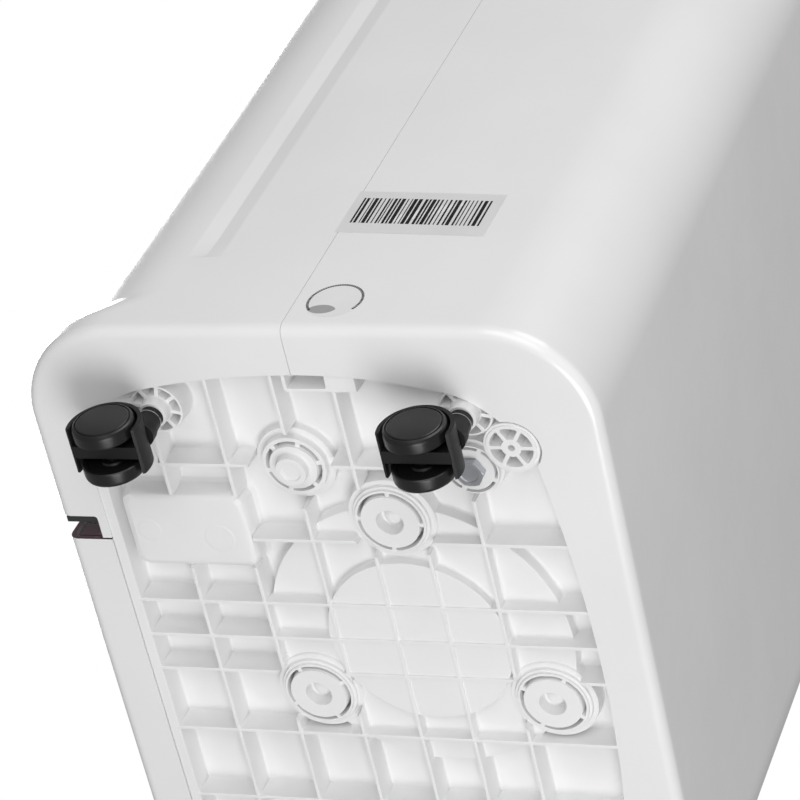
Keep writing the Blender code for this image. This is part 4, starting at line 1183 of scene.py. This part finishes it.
def caster_hood(name, x, y):
    """A half-round hood over two wheels, its web and hub between them, and the post on it."""
    centre = Matrix.Translation((x, y + TRAIL, WHEEL_RADIUS)) @ to_side()
    tip = (HOOD_RADIUS - 0.0006, HOOD_FOOT + 0.0006)
    band = arc(HOOD_RADIUS, -13, 193, 64) + [(-tip[0], tip[1]), (-HOOD_ROOM, HOOD_FOOT)]
    band += arc(HOOD_ROOM, 192, -12, 60) + [(HOOD_ROOM, HOOD_FOOT), tip]
    hood = placed("hood", slab([band], -HOOD_HALF_WIDTH, HOOD_HALF_WIDTH, centre))
    web = [(-HOOD_ROOM, WEB_FOOT), (HOOD_ROOM, WEB_FOOT)] + arc(HOOD_RADIUS - 0.0009, -9, 189, 48)
    boolean(hood, slab([web], -WEB_HALF_WIDTH, WEB_HALF_WIDTH, centre), "UNION")
    post = [(0, WHEEL_RADIUS + 0.008), (0.0064, WHEEL_RADIUS + 0.008), (0.0063, WHEEL_RADIUS + 0.0125),
            (0.0056, WHEEL_RADIUS + 0.0155), (POST_RADIUS, RING_Z), (POST_RADIUS, POST_TOP), (0, POST_TOP)]
    boolean(hood, turned(post, Matrix.Translation((x, y, 0)), 48), "UNION")
    for side in (-1, 1):
        low, high = sorted((side * WEB_HALF_WIDTH, side * 0.020))
        boolean(hood, slab([circle(0, 0, HOOD_ROOM, 72)], low, high, centre))
    low, high = -WHEEL_INNER + 0.0006, WHEEL_INNER - 0.0006
    boolean(hood, slab([circle(0, 0, HOOD_HUB, 32)], low, high, centre), "UNION")
    boolean(hood, slab([circle(0, 0, AXLE_RADIUS + 0.0001, 24)], -0.02, 0.02, centre))
    boolean(hood, cylinder((x, y, STEM_LOW - 0.0005), (x, y, LIP_Z), STEM_RADIUS + 0.0001, 32))
    hood.name = f"caster_{name}_cover"
    bevelled(hood, 0.0005, 32)
    dressed(hood, NYLON, f"caster_{name}_swivel", [f"caster_{name}_hood"])


def caster_stem(name, x, y):
    """The plated stem, and the ring of it that shows round the post."""
    top = STEM_HIGH
    pin = [(0, STEM_LOW), (STEM_RADIUS - 0.0004, STEM_LOW), (STEM_RADIUS, STEM_LOW + 0.0004),
           (STEM_RADIUS, top - 0.0006), (STEM_RADIUS - 0.0006, top), (0, top)]
    ring = [(POST_RADIUS - 0.0004, RING_Z), (POST_RADIUS + 0.0001, RING_Z + 0.00005),
            (POST_RADIUS + 0.00025, RING_Z + 0.0003), (POST_RADIUS + 0.0001, RING_Z + 0.00055),
            (POST_RADIUS - 0.0004, RING_Z + 0.0006), (POST_RADIUS - 0.0004, RING_Z)]
    place = Matrix.Translation((x, y, 0))
    made = placed(f"caster_{name}_pin", together([turned(pin, place, 40), turned(ring, place, 56)]))
    dressed(made, CHROME, f"caster_{name}_swivel", [f"caster_{name}_stem"])


def caster_wheel(name, side, x, y):
    """A wheel with a crowned tread, a rounded shoulder and a cap disc in a groove on its outer face."""
    bore = AXLE_RADIUS + 0.0002
    inner = [(bore, 0.0063), (0.0052, 0.0063), (0.0057, 0.0072), (0.0112, 0.0072), (0.0118, 0.0064)]
    tread = [(0.0006, 0.0063), (0.0001, 0.0068), (0.0, 0.0080), (0.0, 0.0112), (0.0001, 0.0119)]
    shoulder = [(0.0005, 0.0127), (0.0012, 0.0132), (0.0015, 0.0132), (0.0017, 0.0127),
                (0.0019, 0.0127), (0.0021, 0.0132), (0.0026, 0.0135)]
    outer = [(0.0060, 0.01368), (0, 0.0137), (0, 0.0124), (bore, 0.0124)]
    crown = [(WHEEL_RADIUS - drop, height) for drop, height in tread + shoulder]
    profile = inner + crown + outer + inner[:1]
    turn = Matrix.Rotation(side * math.pi / 2, 4, "Y")
    place = Matrix.Translation((x, y + TRAIL, WHEEL_RADIUS)) @ turn
    label = "left" if side < 0 else "right"
    made = placed(f"caster_{name}_tyre_{label}", turned(profile, place, 96))
    body = f"caster_{name}_roller_{label}"
    dressed(made, TREAD, body, [f"caster_{name}_wheel_{label}"], sharp=24)


def casters():
    for name, (x, y) in CORNERS.items():
        caster_hood(name, x, y)
        caster_stem(name, x, y)
        for side in (-1, 1):
            caster_wheel(name, side, x, y)
        painted(STEEL, f"caster_{name}_axle")


def hex_bolt():
    """A six-sided head with rounded corners and a dished face, and its shank."""
    x, y = HEX
    low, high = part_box("base_hex_bolt")
    head = cylinder((x, y, low.z), (x, y, low.z + BOLT_HEIGHT), BOLT_RADIUS, 6)
    bolt = placed("base_bolt", head)
    cone = [(0, low.z - 0.0002), (0.0058, low.z - 0.0002), (0.0074, low.z + 0.0008),
            (0.0080, low.z + 0.004), (0, low.z + 0.004)]
    boolean(bolt, turned(cone, Matrix.Translation((x, y, 0)), 48), "INTERSECT")
    dish = [(0, low.z - 0.001), (0.0046, low.z - 0.001), (0.0040, low.z + 0.0004), (0, low.z + 0.0005)]
    boolean(bolt, turned(dish, Matrix.Translation((x, y, 0)), 40))
    boolean(bolt, cylinder((x, y, low.z + 0.002), (x, y, high.z), 0.0030, 24), "UNION")
    bevelled(bolt, 0.0002)
    dressed(bolt, STEEL, "cabinet", ["base_hex_bolt"])


# The barcode label and the round seal on the left side, without words or digits

LABEL_SPOT = (-0.0323, LIP_Z + 0.0932)
LABEL_SIZE = (0.0716, 0.0349)
LABEL_TURN = math.radians(3.4)
SEAL_SPOT = (-0.0165, LIP_Z + 0.0220)
SEAL_RADIUS = 0.013
FILM_THICKNESS = 0.00006
FILM_LIFT = 0.00007
MARK_LIFT = 0.00009
PRINT_LIFT = 0.00010
BAR_WIDTHS = (0.0005, 0.0009, 0.0009, 0.0013, 0.0017)
BAR_GAPS = (0.0007, 0.0010, 0.0014)
BAR_LOW, BAR_HIGH = -0.0092, 0.0118
BAR_MARGINS = (0.0042, 0.0050)
DASH_STEP = 5
DASH_LENGTH = 3.6
DASH_RING = (0.0002, 0.0014)
MARK_RADIUS = 0.0052
MARK_STRETCH = 1.35


def on_side(name, outlines, lift, finish):
    """A thin film on the left side of the cabinet, from outlines in Y and Z."""
    film = slab(outlines, 0, FILM_THICKNESS, to_side())
    bmesh.ops.triangulate(film, faces=film.faces)
    for vert in film.verts:
        bow = SIDE_BOW * (vert.co.y / BACK_Y) ** 2
        vert.co.x = -(HALF_X - bow + lift) + vert.co.x
    made = placed(name, film)
    dressed(made, finish, "cabinet", weighted=False)


def on_label(across, up):
    """A point of the label, from its middle: across runs towards -Y."""
    y = LABEL_SPOT[0] - across * math.cos(LABEL_TURN) - up * math.sin(LABEL_TURN) * 0.2
    return (y, LABEL_SPOT[1] - across * math.sin(LABEL_TURN) + up * math.cos(LABEL_TURN))


def label():
    """A plain film with made-up bars."""
    half, rise = LABEL_SIZE[0] / 2, LABEL_SIZE[1] / 2
    steps = 14
    low = [on_label(-half + 2 * half * step / steps, -rise) for step in range(steps + 1)]
    high = [on_label(-half + 2 * half * step / steps, rise) for step in range(steps + 1)]
    on_side("label_film", [low + high[::-1]], FILM_LIFT, FILM)
    at = -half + BAR_MARGINS[0]
    bars = []
    while at < half - BAR_MARGINS[1]:
        width = rng.choice(BAR_WIDTHS)
        left = [on_label(at, up) for up in (BAR_LOW, BAR_HIGH)]
        right = [on_label(at + width, up) for up in (BAR_LOW, BAR_HIGH)]
        bars.append([left[0], *right, left[1]])
        at += width + rng.choice(BAR_GAPS)
    on_side("label_bars", bars, PRINT_LIFT, INK)


def seal():
    """A round film with a broken ring and a lens-shaped mark."""
    y, z = SEAL_SPOT
    on_side("seal_film", [circle(y, z, SEAL_RADIUS, 72)], FILM_LIFT, SEAL_FILM)
    dashes = []
    for start in range(-40, 215, DASH_STEP):
        end = start + DASH_LENGTH
        outer = [(y + a, z + b) for a, b in arc(SEAL_RADIUS - DASH_RING[0], start, end, 3)]
        inner = [(y + a, z + b) for a, b in arc(SEAL_RADIUS - DASH_RING[1], end, start, 3)]
        dashes.append(outer + inner)
    on_side("seal_ring", dashes, PRINT_LIFT, INK)
    middle = y + 0.0040
    lower = [(middle + MARK_STRETCH * a, z - 0.0052 + b) for a, b in arc(MARK_RADIUS, 200, 340, 16)]
    upper = [(middle + MARK_STRETCH * a, z - 0.0088 + b) for a, b in arc(MARK_RADIUS, 20, 160, 16)]
    on_side("seal_mark", [lower + upper], MARK_LIFT, SEAL_INK)


# Back: the intake grille, the filter behind it, the drain and the cord gland

LOUVRE_MARGIN_X = 0.012
LOUVRE_MARGIN_Z = 0.014
FILTER_BORDER = 0.006
THREAD_PITCH = 0.0022
THREAD_HALF = 0.00025
THREAD_TUCK = 0.003


def intake():
    """A louvred panel with two finger pulls under its top edge."""
    x0, x1, z0, z1 = GRILLE
    rows, columns = 12, 2
    pitch = (z1 - z0 - 2 * LOUVRE_MARGIN_Z) / rows
    span = (x1 - x0 - 2 * LOUVRE_MARGIN_X) / columns
    outlines = [rounded(*grown(GRILLE, -0.0006), 0.0114)]
    for row in range(rows):
        low = z0 + LOUVRE_MARGIN_Z + row * pitch
        for column in range(columns):
            left = x0 + LOUVRE_MARGIN_X + column * span
            slot = (left + 0.002, left + span - 0.002, low + 0.0025, low + pitch - 0.0025)
            outlines.append(rounded(*slot, 0.0030, 6))
    made = placed("intake_louvre", slab(outlines, -0.0012, 0.0024, to_back(REAR_Y - 0.0016)))
    for side in (-1, 1):
        pull = rounded(side * 0.040 - 0.016, side * 0.040 + 0.016, z1 - 0.011, z1 - 0.005, 0.0028, 6)
        boolean(made, slab([pull], -0.004, -0.0004, to_back(REAR_Y - 0.0016)))
    bevelled(made, 0.0006, segments=3)
    dressed(made, CABINET, "grille", ["intake_grille"])
    filter_screen()


def filter_screen():
    """A frame with a screen of crossed threads in it."""
    low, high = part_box("air_filter")
    border = FILTER_BORDER
    outer = rounded(low.x, high.x, low.z, high.z, 0.003, 4)
    third = (high.x - low.x - border) / 3
    bars = []
    for column in range(3):
        left = low.x + border + column * third
        bars.append(rounded(left, left + third - border, low.z + border, high.z - border, 0.002, 4))
    screen = placed("filter_frame", slab([outer, *bars], 0, high.y - low.y, to_back(high.y)))
    bevelled(screen, 0.0004)
    dressed(screen, FRAME_GREY, "grille", ["air_filter"])
    middle = (low.y + high.y) / 2
    half = THREAD_HALF
    threads = []
    for column in range(int((high.x - low.x - border) / THREAD_PITCH) + 1):
        x = low.x + border / 2 + column * THREAD_PITCH
        start = (x - half, middle - half, low.z + THREAD_TUCK)
        threads.append(box(start, (x + half, middle + half, high.z - THREAD_TUCK)))
    for row in range(int((high.z - low.z - border) / THREAD_PITCH) + 1):
        z = low.z + border / 2 + row * THREAD_PITCH
        start = (low.x + THREAD_TUCK, middle - half * 0.8, z - half)
        threads.append(box(start, (high.x - THREAD_TUCK, middle + half * 1.2, z + half)))
    mesh = placed("filter_threads", together(threads))
    dressed(mesh, THREAD, "grille", (), weighted=False)


def back_turned(name, spot, profile, finish, body, node):
    """A piece turned about a line along Y: the profile is (radius, distance out from the back wall)."""
    place = Matrix.Translation((spot[0], REAR_Y, spot[1])) @ Matrix.Rotation(-math.pi / 2, 4, "X")
    made = placed(name, turned(profile, place, 56))
    bevelled(made, 0.0003)
    dressed(made, finish, body, [node])


def drain_and_gland():
    spout = [(0.0062, -0.020), (0.0091, -0.020), (0.0091, 0.0015), (0.0062, 0.0015), (0.0062, -0.020)]
    back_turned("drain_pipe", DRAIN, spout, BASE, "cabinet", "drain_spout")
    cap = [(0, -0.0100), (0.0050, -0.0100), (0.0058, -0.0092), (0.0058, 0.0018), (0.0110, 0.0018),
           (0.0110, 0.0058), (0.0102, 0.0070), (0.0040, 0.0070), (0.0034, 0.0062), (0, 0.0062)]
    back_turned("drain_bung", DRAIN, cap, RUBBER, "cap", "drain_cap")
    gland = [(0.0038, -0.014), (0.0076, -0.014), (0.0076, 0.0003), (0.0120, 0.0003), (0.0120, 0.0022),
             (0.0110, 0.0030), (0.0078, 0.0034), (0.0062, 0.0070), (0.0038, 0.0070), (0.0038, -0.014)]
    back_turned("cord_sleeve", CORD, gland, RUBBER, "cabinet", "cord_gland")


# Top: the outlet with its flap, and the controls

BUTTONS = {"power": -0.038, "mode": 0.0, "speed": 0.038}
BUTTON_Y = -0.094
BUTTON_RADIUS = 0.0075
WINDOW = (-0.030, 0.030, -0.080, -0.058)
CONTROL_GAP = 0.0004


def outlet():
    x1, front, back = OUTLET[1:]
    rim = rounded(*grown(OUTLET, -0.0006), 0.0054)
    leaf = placed("flap_leaf", slab([rim], TOP_Z - 0.0026, TOP_Z - 0.0002))
    pull = rounded(-0.022, 0.022, front + 0.003, front + 0.010, 0.0034)
    boolean(leaf, slab([pull], TOP_Z - 0.0014, TOP_Z + 0.002))
    bevelled(leaf, 0.0005, segments=3)
    dressed(leaf, CABINET, "flap", ["outlet_flap"])
    margin = 0.006
    count = 9
    pitch = (back - front - 2 * margin) / count
    outlines = [rim]
    for place in range(count):
        start = front + margin + place * pitch
        for side in (-1, 1):
            left, right = sorted((side * 0.003, side * (x1 - margin)))
            outlines.append(rounded(left, right, start + 0.001, start + pitch - 0.001, 0.0020, 5))
    slats = placed("outlet_slats", slab(outlines, TOP_Z - 0.0120, TOP_Z - 0.0080))
    bevelled(slats, 0.0005)
    dressed(slats, BASE, "cabinet", ["outlet_grille"])


def controls():
    """The glossy panel with its window and its three buttons."""
    rim = rounded(*grown(PANEL, -CONTROL_GAP), 0.0096)
    holes = [circle(x, BUTTON_Y, BUTTON_RADIUS + CONTROL_GAP) for x in BUTTONS.values()]
    window = rounded(*grown(WINDOW, CONTROL_GAP), 0.003)
    panel = placed("panel_overlay", slab([rim, *holes, window], TOP_Z - 0.0028, TOP_Z - 0.0002))
    bevelled(panel, 0.0003)
    dressed(panel, GLOSS_BLACK, "cabinet", ["control_panel"])
    lens = placed("panel_window", slab([rounded(*WINDOW, 0.0026)], TOP_Z - 0.0026, TOP_Z - 0.0002))
    bevelled(lens, 0.0004, segments=3)
    dressed(lens, SMOKE, "cabinet", ["display_lens"])
    for name, x in BUTTONS.items():
        button(name, x)


def button(name, x):
    """A key with a raised rim and a dished face."""
    radius = BUTTON_RADIUS
    side = [(0, 0.006), (radius, 0.006), (radius, 0.0008), (radius - 0.0003, 0.0002)]
    face = [(radius - 0.0009, 0.0), (radius - 0.0016, 0.0001), (0.0030, 0.0007), (0, 0.0008)]
    profile = [(reach, TOP_Z - drop) for reach, drop in side + face]
    made = placed(f"{name}_key", turned(profile, Matrix.Translation((x, BUTTON_Y, 0)), 64))
    dressed(made, KEY_GREY, f"button_{name}", [f"button_{name}"], sharp=50)


# Pieces whose CAD shape is right, softened where they show


def softened(node, name, finish, body, width=0.0006):
    """A copy of a CAD node with rounded edges, which stands for it."""
    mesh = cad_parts[node].data.copy()
    shape = bmesh.new()
    shape.from_mesh(mesh)
    bpy.data.meshes.remove(mesh)
    bmesh.ops.remove_doubles(shape, verts=shape.verts, dist=0.00002)
    bmesh.ops.dissolve_limit(shape, angle_limit=math.radians(1), verts=shape.verts, edges=shape.edges)
    made = placed(name, shape)
    bevelled(made, width, 35)
    dressed(made, finish, body, [node])


def tank():
    softened("water_tank", "tank_bin", TANK, "tank", 0.0008)
    softened("tank_lid", "tank_cover", BASE, "tank", 0.0005)
    softened("tank_handle", "tank_bail", NYLON, "bail", 0.0004)
    softened("tank_float", "tank_bobber", BASE, "float", 0.0008)


def inside():
    painted(GALVANISED, "inner_frame")
    painted(BASE, "drip_tray", "fan_scroll", "fan_wheel")
    painted(FINS, "evaporator", "condenser")
    painted(COPPER, "discharge_pipe", "suction_pipe")
    painted(BLACK_PAINT, "compressor")
    painted(RUBBER, *[f"compressor_grommet_{number}" for number in (1, 2, 3)])
    painted(STEEL, "fan_motor", *[f"compressor_bolt_{number}" for number in (1, 2, 3)])
    painted(BOARD, "control_board")
    painted(NYLON, "tank_switch")


camera()
studio()
front_housing()
rear_housing()
# Painted shade: a black strip where the notch's edge lies in deep shade.
notch_shade_strip()
tank_fascia()
top_cover()
base_pan()
casters()
hex_bolt()
label()
seal()
intake()
drain_and_gland()
outlet()
controls()
tank()
inside()
